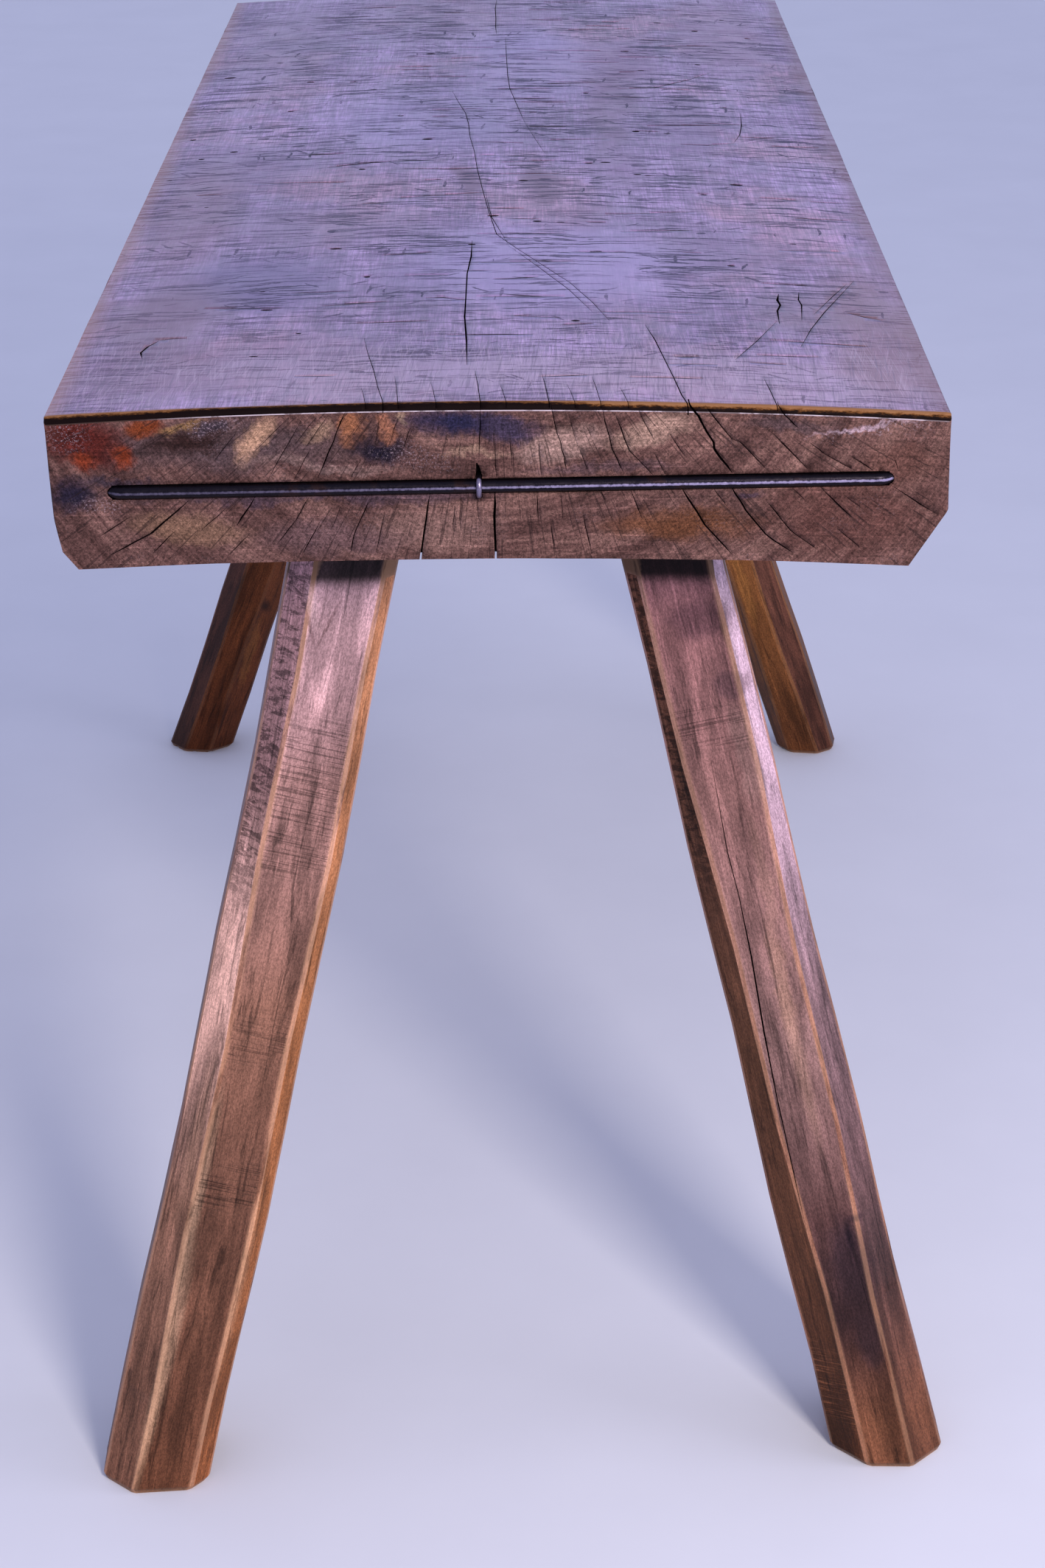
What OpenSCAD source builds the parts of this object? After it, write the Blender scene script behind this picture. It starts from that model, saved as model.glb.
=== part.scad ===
// Butchers table: one thick hardwood slab on four splayed legs. Each leg is hewn to an
// uneven octagon, scribed to the hollow underside and fox-wedged into a blind mortise.
// An iron bar is sunk across each end grain, bent in at both ends and held by a staple,
// to stop the drying checks that fan out from the pith of the trunk.
// The floor is z = 0 and the length lies along Y, with the photographed end at -Y.
// The origin is the middle of the floor space that the table takes up.
// Lists of four are in the order front left, front right, back left, back right.

/* [Slab] */
// Width of the slab, across the grain
slab_w = 530; // [440:5:620]
// Length of the slab, along the grain
slab_l = 1350; // [1050:10:1700]
// Thickness in the middle of the width
slab_t = 97; // [88:1:130]
// Height of the working surface above the floor, in the middle of the width
table_h = 775; // [650:5:900]
// Rise of the worn top from its long edges to its middle
top_crown = 8; // [0:0.5:14]
// Rise of the underside from its long edges to its middle
under_hollow = 6.5; // [0:0.5:12]
// How far both sides lean to the right on their way down
side_lean = 2.3; // [0:0.1:5]
// Bevel along the two long top edges
edge_bevel = 3.5; // [1:0.5:6]
// How far the worn lip at each end drops below the top
lip_drop = 4.5; // [1:0.5:8]
// How far that lip reaches in from the end
lip_run = 5.5; // [2:0.5:12]

/* [Wane] */
// Height of the natural edge left on the lower right side
wane_right_h = 38; // [20:1:50]
// Width of that edge across the underside
wane_right_w = 24; // [10:1:40]
// Height of the natural edge left on the lower left side
wane_left_h = 30; // [15:1:45]
// Width of that edge across the underside
wane_left_w = 13; // [6:1:30]
// Share by which both natural edges swell and shrink along the slab
wane_change = 0.22; // [0:0.02:0.4]
// Height over which the right one rounds into the sawn side
wane_ease = 6; // [2:0.5:10]

/* [Drying checks] */
// Height of the pith of the trunk above the working surface
pith_rise = 98; // [60:1:160]
// Widest opening of a check in the end grain
check_w = 1.7; // [0.8:0.1:2.4]
// Depth of the checks into the end grain
check_depth = 18; // [6:1:30]
// Widest opening of a crack in the top
crack_w = 2.4; // [1:0.1:4]
// Depth of the cracks in the top
crack_depth = 9; // [4:0.5:16]

/* [Legs] */
// Distance of each leg's entry from the middle of the slab's width
entry_x = [90.5, 98, 91, 88]; // [70:1:140]
// Distance of each leg's entry from its end of the slab
entry_inset = [180, 180, 180, 180]; // [140:1:260]
// Splay of each leg to its side, in degrees
leg_splay = [12.7, 13.9, 19.5, 18.6]; // [5:0.1:22]
// Rake of each leg towards its end of the table, in degrees
leg_rake = [12.3, 10.1, 9.8, 8.6]; // [4:0.1:16]
// Turn of each leg about itself, in degrees
leg_turn = [4, 0, 40, 36]; // [-45:1:45]
// Bow of each leg towards the middle of the table, halfway down
leg_bow = [3.5, 0.5, 0, 0]; // [0:0.5:8]
// Width across the flats at the slab
leg_top_w = [69, 65.5, 59, 58]; // [56:0.5:80]
// Width across the flats at the floor
leg_foot_w = [73.5, 76, 61, 58]; // [56:0.5:90]
// Corner cut away on the left of each leg at the slab
left_cut_top = [15, 6, 16, 17]; // [4:0.5:20]
// Corner cut away on the left of each leg at the floor
left_cut_foot = [22, 24, 18, 19]; // [4:0.5:26]
// Corner cut away on the right of each leg at the slab
right_cut_top = [8, 8, 13, 13]; // [4:0.5:20]
// Corner cut away on the right of each leg at the floor
right_cut_foot = [11.5, 23, 15, 16]; // [4:0.5:26]
// Depth of the waves that the axe left in every facet
hew = 0.9; // [0:0.1:1.5]
// Length of one such wave along the leg
hew_pitch = 290; // [150:10:500]
// Wear of the edges between the facets
arris = 1.8; // [0.5:0.1:1.9]
// Height and width of the worn bevel around each foot
foot_bevel = 4; // [1:0.5:6]

/* [Joints] */
// Diameter of the round tenon on each leg
tenon_d = 48; // [36:1:52]
// Length of the tenon along the leg
tenon_l = 60; // [40:1:62]
// Clearance around the tenon in its mortise
tenon_fit = 0.1; // [0.05:0.05:0.3]
// Clearance between the leg's shoulder and the underside
shoulder_fit = 0.1; // [0.05:0.05:0.3]
// Length of the fox wedge
wedge_l = 38; // [26:1:38]
// Thickness of the wedge at its thick end
wedge_thick = 6; // [4:0.5:9]
// Thickness of the wedge at its thin end
wedge_thin = 1; // [0.6:0.1:2]
// How far the wedge stands out of the tenon, against the bottom of the mortise
wedge_proud = 3; // [1:0.5:4]
// How much wood the kerf leaves beside the wedge, across the tenon
wedge_side = 1; // [0.5:0.5:4]
// Clearance around the wedge in its kerf
wedge_fit = 0.1; // [0.05:0.05:0.3]

/* [Irons] */
// Diameter of the bar across each end
bar_d = 8.5; // [6:0.5:12]
// Length of the bar from bend to bend
bar_span = 470; // [380:5:500]
// Height of the working surface above the bar
bar_drop = 51; // [40:1:60]
// Shift of the bar to the right of the slab's middle
bar_x = 1.4; // [-8:0.2:8]
// Tilt of the bar in its groove, in degrees
bar_tilt = 0.86; // [0:0.02:1.2]
// How deep the bar's axis lies inside the end grain
bar_sink = 1; // [0:0.2:3]
// Radius of the bends at the bar's ends
bar_bend = 9; // [7:0.5:16]
// Length of the bent-in ends, driven into the wood
bar_leg = 60; // [40:1:90]
// Length of the points of the bar
bar_point = 14; // [8:1:20]
// Diameter of the staple's wire
staple_d = 3.4; // [2.4:0.2:5]
// Distance of the staple from the middle of the bar
staple_x = -12.6; // [-40:0.2:40]
// Length of the staple's legs
staple_leg = 34; // [24:1:45]
// Length of the points of the staple
staple_point = 6; // [4:1:10]
// Clearance around the irons in the wood
iron_fit = 0.15; // [0.05:0.05:0.3]
// Height of the notch chopped above the staple
notch_h = 8; // [4:0.5:12]
// Depth of that notch
notch_depth = 5; // [2:0.5:8]

/* [Hidden] */

// Sides of a round tenon, and of the thin irons
tenon_fn = 72;
iron_fn = 32;
// Stations across the top and the underside, and along the slab and the legs
across_top = 16;
across_under = 10;
along_slab = 12;
along_leg = 11;
// A cut starts this far outside the surface that it enters
over = 1;
// Half the width at the thin end of a check or crack
crack_tip = 0.15;

// Side of the slab and end of the table that each leg stands at
leg_side = [-1, 1, -1, 1];
leg_end = [-1, -1, 1, 1];

under_mid = table_h - slab_t;
edge_top = table_h - top_crown;
edge_under = under_mid - under_hollow;
pith_z = table_h + pith_rise;

// Checks in the front end grain, first those above the bar: angle from straight down
// under the pith, start and end as shares of the slab's thickness below its top, and the
// share of the full width that each one opens to
front_checks = [[-48, 0.08, 0.33, 0.4], [-41, 0.08, 0.33, 0.5], [-36, 0.05, 0.42, 0.5],
    [-4.5, 0.02, 0.37, 0.9], [3.9, 0.14, 0.3, 0.4], [16.9, 0.07, 0.28, 0.6],
    [22, 0.08, 0.41, 0.8], [27, 0.21, 0.42, 0.6], [37, 0.05, 0.35, 0.6],
    [45, 0.06, 0.45, 1], [49, 0.11, 0.44, 0.6], [53, 0.22, 0.44, 0.4],
    [-53, 0.7, 0.84, 0.4], [-49, 0.62, 1, 0.8], [-40.5, 0.64, 0.97, 0.5],
    [-30, 0.7, 1, 0.6], [-26, 0.6, 0.92, 0.4], [-14, 0.58, 1, 1], [-0.6, 0.6, 1.05, 1],
    [8, 0.57, 0.79, 0.6], [10.2, 0.78, 0.99, 0.5], [16.2, 0.72, 0.98, 0.5],
    [27, 0.6, 0.76, 0.5], [35.5, 0.61, 1.05, 0.8], [42, 0.58, 1.05, 0.9],
    [51.5, 0.58, 0.73, 0.5], [57, 0.6, 0.72, 0.6]];
back_checks = [[-42, 0.6, 0.96, 0.9], [-27, 0.08, 0.42, 0.6], [-11, 0.03, 0.38, 0.7],
    [-3, 0.58, 1.05, 1], [9, 0.14, 0.42, 0.5], [19, 0.6, 1, 0.9], [33, 0.06, 0.4, 0.6],
    [47, 0.62, 1.05, 0.9]];

// Cracks in the top: the share of the full width that each one opens to, and its points,
// x as a share of the half width and y as a share of the length from the front end
top_cracks = [[1, [[-0.08, 0.278], [-0.095, 0.185], [-0.083, 0.111], [-0.072, 0.06]]],
    [0.6, [[-0.15, 0.644], [-0.1, 0.548], [-0.072, 0.43], [-0.011, 0.293], [0.166, 0.2],
        [0.257, 0.13]]],
    [0.8, [[0.374, 0.087], [0.408, 0.03], [0.423, -0.002]]],
    [0.6, [[-0.317, 0.1], [-0.29, 0.044], [-0.26, 0.015]]],
    [0.7, [[0, 0.819], [0.011, 0.663], [0.068, 0.558]]]];

// Height of the top and of the underside at a distance x from the middle of the width
function top_z(x) = table_h - top_crown * pow(2 * x / slab_w, 2);
function under_z(x) = under_mid - under_hollow * pow(2 * x / slab_w, 2);

// Sideways lean of a point on the slab's side
function lean(z) = side_lean * (table_h - z) / slab_t;

// Size of the natural edge at a share s of the length, for the right or left side
function wane(s, side) = 1 + wane_change * sin(360 * (0.7 * s + 0.31 * side) + 40);

// Outline of the slab at a share s of its length, with its top worn down by drop.
// It runs clockwise as seen from the front, from the right end of the top.
function slab_outline(s, drop) =
    let (half = slab_w / 2, flat = half - edge_bevel, top_edge = edge_top - edge_bevel - drop,
        right_z = edge_under + wane_right_h * wane(s, 1),
        right_x = half + lean(edge_under) - wane_right_w * wane(s, 1),
        left_z = edge_under + wane_left_h * wane(s, 2),
        left_x = -half + lean(edge_under) + wane_left_w * wane(s, 2))
    concat(
        [for (i = [across_top:-1:0])
            let (x = -flat + 2 * flat * i / across_top) [x, top_z(x) - drop]],
        [[-half, top_edge], [-half + lean(left_z), left_z]],
        [for (a = [30:30:60])
            [left_x - (left_x + half - lean(left_z)) * cos(a),
                left_z - (left_z - under_z(left_x)) * sin(a)]],
        [for (i = [0:across_under])
            let (x = left_x + (right_x - left_x) * i / across_under) [x, under_z(x)]],
        [[half + lean(right_z) - wane_ease / 4, right_z - wane_ease],
            [half + lean(right_z), right_z], [half, top_edge]]);

// Share of the lip's drop that is left at a share of the lip's run
function lip(t) = pow(1 - t, 2);

// Stations along the slab: y and the drop of the top there, closer at the worn lips
slab_stations = concat(
    [for (t = [0, 0.35, 0.75]) [-slab_l / 2 + lip_run * t, lip_drop * lip(t)]],
    [for (i = [0:along_slab])
        [-slab_l / 2 + lip_run * 1.6 + (slab_l - lip_run * 3.2) * i / along_slab, 0]],
    [for (t = [0.75, 0.35, 0]) [slab_l / 2 - lip_run * t, lip_drop * lip(t)]]);

// Where leg i enters the slab, and where its axis meets the floor
function entry(i) =
    let (x = leg_side[i] * entry_x[i]) [x, leg_end[i] * (slab_l / 2 - entry_inset[i]), under_z(x)];
function foot(i) =
    entry(i) + entry(i).z * [leg_side[i] * tan(leg_splay[i]), leg_end[i] * tan(leg_rake[i]), -1];
function leg_axis(i) = entry(i) - foot(i);
function azimuth(i) = atan2(leg_axis(i).y, leg_axis(i).x);
function tilt(i) = acos(leg_axis(i).z / norm(leg_axis(i)));

// Value at a share t of the way down a leg
function taper(top, bottom, t) = top + (bottom - top) * t;

// Distance of facet k from the axis of leg i, at a share t of the way down. The facets
// are numbered from the front one, anticlockwise as seen from above.
function facet(i, k, t) =
    let (w = taper(leg_top_w[i], leg_foot_w[i], t),
        cut = k < 4 ? taper(right_cut_top[i], right_cut_foot[i], t)
            : taper(left_cut_top[i], left_cut_foot[i], t),
        wave = hew * sin(360 * t * table_h / hew_pitch + 61 * k + 97 * i))
    (k % 2 == 0 ? w / 2 : (w - cut) / sqrt(2)) + wave;

// Corner between facet k and the next one
function corner(i, k, t, inset) =
    let (a = -90 + 45 * k + leg_turn[i], b = a + 45,
        p = facet(i, k % 8, t) - inset, q = facet(i, (k + 1) % 8, t) - inset)
    [p * sin(b) - q * sin(a), q * cos(a) - p * cos(b)] / sin(45);

// A point of the section stretched along the lean, for a level cut through a leaning leg
function level(i, p) =
    let (u = [cos(azimuth(i)), sin(azimuth(i))]) p + u * (p * u) * (1 / cos(tilt(i)) - 1);

// Level ring of sixteen points around leg i, with each corner worn to two
function leg_ring(i, t, inset) =
    [for (k = [0:7]) let (c = corner(i, k, t, inset), before = corner(i, k + 7, t, inset),
        after = corner(i, k + 1, t, inset))
        each [level(i, c + (before - c) * arris / norm(before - c)),
            level(i, c + (after - c) * arris / norm(after - c))]];

// The ring at height z, placed on the axis of the leg
function placed_ring(i, z, inset) =
    let (t = 1 - z / entry(i).z, bow = leg_side[i] * leg_bow[i] * sin(180 * t),
        c = entry(i) + (foot(i) - entry(i)) * t - [bow, 0, 0])
    [for (p = leg_ring(i, t, inset)) [c.x + p.x, c.y + p.y, z]];

// The top ring follows the hollow of the underside, as a scribed shoulder does
function scribed_ring(i) =
    [for (p = placed_ring(i, entry(i).z - shoulder_fit, 0))
        [p.x, p.y, under_z(p.x) - shoulder_fit]];

function leg_rings(i) = concat([placed_ring(i, 0, foot_bevel * 0.8)],
    [for (n = [0:along_leg - 1])
        placed_ring(i, foot_bevel + (entry(i).z - foot_bevel) * n / along_leg, 0)],
    [scribed_ring(i)]);

// How far the staples' crowns stand from the middle of the slab's length
iron_reach = slab_l / 2 - bar_sink + bar_d / 2 + iron_fit + staple_d;

// The origin is the middle of the floor space, so the table is moved by this much
reach = concat([[-slab_w / 2, -iron_reach], [slab_w / 2 + side_lean, iron_reach]],
    [for (i = [0:3]) for (ring = leg_rings(i)) for (p = ring) [p.x, p.y]]);
reach_x = [for (p = reach) p.x];
reach_y = [for (p = reach) p.y];
middle = [min(reach_x) + max(reach_x), min(reach_y) + max(reach_y), 0] / 2;

// Solid through a list of rings with as many points each, listed so that the faces of
// the first and last ring point outwards
module loft(rings) {
    n = len(rings[0]);
    last = (len(rings) - 1) * n;
    walls = [for (r = [0:len(rings) - 2]) for (i = [0:n - 1])
        let (a = r * n + i, b = r * n + (i + 1) % n) each [[a, b, b + n], [a, b + n, a + n]]];
    polyhedron([for (ring = rings) each ring],
        concat([[for (i = [n - 1:-1:0]) i]], [[for (i = [0:n - 1]) last + i]],
            [for (f = walls) [f[2], f[1], f[0]]]), convexity = 4);
}

// The same for a ring list with a last ring that isn't flat, closed by a fan
module fan_loft(rings, peak) {
    n = len(rings[0]);
    last = (len(rings) - 1) * n;
    walls = [for (r = [0:len(rings) - 2]) for (i = [0:n - 1])
        let (a = r * n + i, b = r * n + (i + 1) % n) each [[a, b, b + n], [a, b + n, a + n]]];
    fan = [for (i = [0:n - 1]) [last + i, last + (i + 1) % n, last + n]];
    polyhedron(concat([for (ring = rings) each ring], [peak]),
        concat([[for (i = [n - 1:-1:0]) i]], [for (f = concat(walls, fan)) [f[2], f[1], f[0]]]),
        convexity = 4);
}

// Moves a piece from the slab's own middle to the middle of the floor space
module on_floor() translate(-middle) children();

// Stands a piece on the axis of leg i, with z = 0 at the underside of the slab and the
// x axis across the grain
module on_leg(i) translate(entry(i)) rotate([0, tilt(i), azimuth(i)])
    rotate([0, 0, -azimuth(i)]) children();

// Turns what is made for the front end to the back end as well
module at_end(e) rotate([0, 0, e < 0 ? 0 : 180]) children();

// Lays a piece along the bar, with x along it and y = 0 on its axis
module on_bar() translate([bar_x, bar_sink - slab_l / 2, table_h - bar_drop])
    rotate([0, -bar_tilt, 0]) children();

// Distance from the pith, down a ray at an angle, to a share of the slab's thickness
function from_pith(angle, share) = (pith_rise + share * slab_t) / cos(angle);

// One check: a thin blade along a ray from the pith, wider in the middle
module check(c) translate([0, check_depth - slab_l / 2, pith_z])
    rotate([90, c[0], 0]) linear_extrude(check_depth + over)
        let (start = from_pith(c[0], c[1]), end = from_pith(c[0], c[2]),
            mid = (start + end) / 2, h = check_w * c[3] / 2)
            polygon([[-crack_tip, -start], [-h, -mid], [-h * 0.6, -end], [h * 0.6, -end],
                [h, -mid], [crack_tip, -start]]);

// One crack in the top: a thin slot along a winding line, which tapers to its ends unless
// it runs out of the end grain
module crack(c) {
    pts = [for (p = c[1]) [p.x * slab_w / 2, p.y * slab_l]];
    last = len(pts) - 1;
    mid = pts[round(last / 2)];
    half = [for (i = [0:last])
        i == 0 || i == last && pts[last].y > 0 ? crack_tip : crack_w * c[0] / 2];
    translate([0, -slab_l / 2, top_z(mid.x) - crack_depth])
        linear_extrude(crack_depth + top_crown + over)
            polygon(concat([for (i = [0:last]) pts[i] - [half[i], 0]],
                [for (i = [last:-1:0]) pts[i] + [half[i], 0]]));
}

// The bar at a given thickness: straight across, bent in at both ends and pointed
module bar_form(d) {
    leg_x = (bar_span - bar_d) / 2;
    translate([bar_bend - leg_x, 0, 0]) rotate([0, 90, 0])
        cylinder(d = d, h = 2 * (leg_x - bar_bend), $fn = iron_fn);
    for (side = [0, 1]) mirror([side, 0, 0]) {
        translate([leg_x - bar_bend, bar_bend, 0]) rotate([0, 0, -90])
            rotate_extrude(angle = 90, $fn = 4 * iron_fn)
                translate([bar_bend, 0]) circle(d = d, $fn = iron_fn);
        translate([leg_x, bar_bend, 0]) rotate([-90, 0, 0]) {
            cylinder(d = d, h = bar_leg, $fn = iron_fn);
            translate([0, 0, bar_leg]) cylinder(d1 = d, d2 = d * 0.2, h = bar_point, $fn = iron_fn);
        }
    }
}

// The staple at a given thickness: a half ring over the bar with two pointed legs
module staple_form(d) {
    r = (bar_d + staple_d) / 2 + iron_fit;
    translate([staple_x, 0, 0]) rotate([0, 90, 180])
        rotate_extrude(angle = 180, $fn = 2 * iron_fn)
            translate([r, 0]) circle(d = d, $fn = iron_fn);
    for (side = [-1, 1]) translate([staple_x, 0, side * r]) rotate([-90, 0, 0]) {
        cylinder(d = d, h = staple_leg, $fn = iron_fn);
        translate([0, 0, staple_leg])
            cylinder(d1 = d, d2 = d * 0.2, h = staple_point, $fn = iron_fn);
    }
}

// What the irons take out of the slab: their own form with clearance, the groove's open
// side, and the notch above the staple
module iron_cuts() {
    cut_d = bar_d + 2 * iron_fit;
    bar_form(cut_d);
    staple_form(staple_d + 2 * iron_fit);
    translate([bar_bend - (bar_span - bar_d) / 2, -bar_sink - over, -cut_d / 2])
        cube([bar_span - bar_d - 2 * bar_bend, bar_sink + over, cut_d]);
    translate([staple_x - staple_d, -bar_sink - over, bar_d / 2])
        cube([2 * staple_d, notch_depth + over, notch_h + staple_d]);
}

// The fox wedge, with its thick end up; grow widens it to the kerf that holds it
module wedge_form(grow) rotate([90, 0, 90])
    translate([0, tenon_l + wedge_proud - wedge_l, wedge_side - tenon_d / 2 - grow])
        linear_extrude(tenon_d - 2 * wedge_side + 2 * grow)
            polygon([[-wedge_thin / 2 - grow, -grow], [wedge_thin / 2 + grow, -grow],
                [wedge_thick / 2 + grow, wedge_l], [-wedge_thick / 2 - grow, wedge_l]]);

module slab_top() color([0.43, 0.33, 0.31]) on_floor() difference() {
    loft([for (st = slab_stations)
        [for (p = slab_outline(st[0] / slab_l + 0.5, st[1])) [p.x, st[0], p.y]]]);
    for (i = [0:3]) on_leg(i) translate([0, 0, -2 * under_hollow - over])
        cylinder(d = tenon_d + 2 * tenon_fit, $fn = tenon_fn,
            h = tenon_l + wedge_proud + tenon_fit + 2 * under_hollow + over);
    for (e = [-1, 1]) at_end(e) on_bar() iron_cuts();
    for (c = front_checks) check(c);
    at_end(1) for (c = back_checks) check(c);
    for (c = top_cracks) crack(c);
}

module leg(i) color([0.50, 0.31, 0.20]) on_floor() difference() {
    union() {
        fan_loft(leg_rings(i), entry(i) - [0, 0, shoulder_fit]);
        on_leg(i) translate([0, 0, -tenon_d / 2])
            cylinder(d = tenon_d, h = tenon_l + tenon_d / 2, $fn = tenon_fn);
    }
    on_leg(i) wedge_form(wedge_fit);
}

module fox_wedge(i) color([0.62, 0.48, 0.33]) on_floor() on_leg(i) wedge_form(0);

module end_bar(e) color([0.13, 0.13, 0.15]) on_floor() at_end(e) on_bar() bar_form(bar_d);

module bar_staple(e) color([0.17, 0.17, 0.19]) on_floor() at_end(e) on_bar()
    staple_form(staple_d);

slab_top();
leg(0);  // leg_front_left
leg(1);  // leg_front_right
leg(2);  // leg_back_left
leg(3);  // leg_back_right
fox_wedge(0);  // fox_wedge_front_left
fox_wedge(1);  // fox_wedge_front_right
fox_wedge(2);  // fox_wedge_back_left
fox_wedge(3);  // fox_wedge_back_right
end_bar(-1);  // end_bar_front
end_bar(1);  // end_bar_back
bar_staple(-1);  // bar_staple_front
bar_staple(1);  // bar_staple_back
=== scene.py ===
import math
import random

import bmesh
import bpy
from mathutils import Matrix, Vector


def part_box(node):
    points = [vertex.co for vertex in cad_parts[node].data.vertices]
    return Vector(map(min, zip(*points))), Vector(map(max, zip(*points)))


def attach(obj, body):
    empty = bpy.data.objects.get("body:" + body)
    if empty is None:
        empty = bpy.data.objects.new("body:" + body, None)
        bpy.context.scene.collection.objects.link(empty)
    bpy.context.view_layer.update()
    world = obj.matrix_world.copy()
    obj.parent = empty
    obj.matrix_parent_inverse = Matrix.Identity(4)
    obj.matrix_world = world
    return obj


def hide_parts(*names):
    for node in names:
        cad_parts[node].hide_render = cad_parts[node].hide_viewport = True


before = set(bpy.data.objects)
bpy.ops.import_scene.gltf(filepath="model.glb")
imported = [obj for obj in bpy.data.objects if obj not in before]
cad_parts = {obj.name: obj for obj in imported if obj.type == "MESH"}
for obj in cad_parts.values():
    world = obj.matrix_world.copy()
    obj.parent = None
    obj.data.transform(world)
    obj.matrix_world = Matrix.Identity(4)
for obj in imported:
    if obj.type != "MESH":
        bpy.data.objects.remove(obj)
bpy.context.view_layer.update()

# The view of the photograph: a step back from the front end and above it, with a 70 mm
# lens, 24 degrees down and a hair off level. It is placed from the middle of the slab.
mm = 0.001
slab_low, slab_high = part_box("slab_top")
slab_w = 530 * mm
slab_x = slab_low.x + slab_w / 2
slab_y = (slab_low.y + slab_high.y) / 2
eye = (slab_x + 14.6 * mm, slab_y - 2380.4 * mm, 1304.9 * mm)
sideways = math.radians(0.034)
downwards = math.radians(24.393)
tipped = math.radians(-0.257)
bpy.ops.object.select_all(action="DESELECT")
bpy.ops.object.camera_add()
camera = bpy.context.object
camera.data.lens = 70.02
camera.data.sensor_width = 36
camera.matrix_world = (Matrix.Translation(eye) @ Matrix.Rotation(sideways, 4, "Z")
    @ Matrix.Rotation(math.pi / 2 - downwards, 4, "X") @ Matrix.Rotation(tipped, 4, "Z"))
bpy.context.scene.camera = camera
bpy.context.scene.view_settings.view_transform = "Standard"


# A plain studio: cool bluish daylight all round, which gives the waxed top its lavender
# look, a warm lamp above and right of the camera, and a weak cool panel on the right.
world = bpy.data.worlds.new("daylight")
world.use_nodes = True
sky = world.node_tree.nodes["Background"]
sky.inputs["Color"].default_value = (0.54, 0.57, 0.82, 1)
sky.inputs["Strength"].default_value = 1.1
bpy.context.scene.world = world


def lamp(name, place, aim, size, watts, colour):
    """A soft rectangular lamp that shines from its place towards a point."""
    bpy.ops.object.light_add(type="AREA", location=place)
    light = bpy.context.object
    light.name = name
    light.rotation_euler = (Vector(aim) - Vector(place)).to_track_quat("-Z", "Y").to_euler()
    light.data.shape = "RECTANGLE"
    light.data.size, light.data.size_y = size
    light.data.energy = watts
    light.data.color = colour


lamp("camera_lamp", (0.85, -2.45, 1.68), (0, -0.5, 0.5), (0.5, 0.5), 50, (1.0, 0.90, 0.84))
lamp("side_panel", (2.3, -1.0, 0.95), (0, -0.5, 0.4), (1.2, 1.2), 17, (0.82, 0.80, 1.0))


# The floor is a pale, matt sheet with a faint unevenness, rolled out wide. The table stands
# on it, and it isn't part of the object.
def node(kind, inputs, tree=None, **settings):
    """Adds a shader node, by default in the tree of the sockets that feed it. Inputs are
    values or sockets."""
    fed = {key: v for key, v in inputs.items() if isinstance(v, bpy.types.NodeSocket)}
    tree = tree or next(iter(fed.values())).id_data
    made = tree.nodes.new("ShaderNode" + kind)
    for key, value in settings.items():
        setattr(made, key, value)
    for key, value in inputs.items():
        if key in fed:
            tree.links.new(value, made.inputs[key])
        else:
            made.inputs[key].default_value = value
    return made


def feed(shader, name, value):
    """Links a socket to one of the shader's own."""
    shader.id_data.links.new(value, shader.inputs[name])


def sums(operation, *values):
    """Works out numbers or sockets by a named operation."""
    return node("Math", dict(enumerate(values)), operation=operation).outputs[0]


def plus(a, b):
    """Adds two numbers or sockets."""
    return sums("ADD", a, b)


def less(a, b):
    """Takes the second from the first."""
    return sums("SUBTRACT", a, b)


def times(a, b):
    """Multiplies two numbers or sockets."""
    return sums("MULTIPLY", a, b)


def most(a, b):
    """The larger of two."""
    return sums("MAXIMUM", a, b)


def noise(place, scale, detail=3, rough=0.55, warp=0, stretch=(1, 1, 1), turn=0, seed=0):
    """Cloudy noise from 0 to 1, turned about Z by degrees and stretched along each axis."""
    mapped = node("Mapping", {"Vector": place, "Scale": stretch,
        "Rotation": (0, 0, math.radians(turn)), "Location": (seed, seed * 0.7, -seed)},
        vector_type="TEXTURE").outputs[0]
    return node("TexNoise", {"Vector": mapped, "Scale": scale, "Detail": detail,
        "Roughness": rough, "Distortion": warp}).outputs["Fac"]


def step(value, low, high, to_low=0, to_high=1):
    """Eases a value from one range to another."""
    return node("MapRange", {"Value": value, "From Min": low, "From Max": high,
        "To Min": to_low, "To Max": to_high}, interpolation_type="SMOOTHSTEP").outputs[0]


def blend(share, first, second):
    """Mixes two colours by a share. Any of the three may be a socket."""
    first, second = ((*c, 1) if isinstance(c, tuple) else c for c in (first, second))
    return node("Mix", {0: share, 6: first, 7: second}, data_type="RGBA").outputs[2]


def material(name, rough, **shine):
    """A new material: itself, its shader, and the place on the object."""
    made = bpy.data.materials.new(name)
    made.use_nodes = True
    shader = made.node_tree.nodes["Principled BSDF"]
    shader.inputs["Roughness"].default_value = rough
    for key, value in shine.items():
        shader.inputs[key.replace("_", " ")].default_value = value
    return made, shader, node("TexCoord", {}, tree=made.node_tree).outputs["Object"]


bpy.ops.mesh.primitive_plane_add(size=60, location=(0, 0, 0))
floor = bpy.context.object
floor.name = "studio_floor"
paint, shader, place = material("pale_floor", 0.8)
tone = noise(place, 6, detail=4)
feed(shader, "Base Color", blend(tone, (0.60, 0.61, 0.66), (0.66, 0.67, 0.72)))
floor.data.materials.append(paint)


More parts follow.
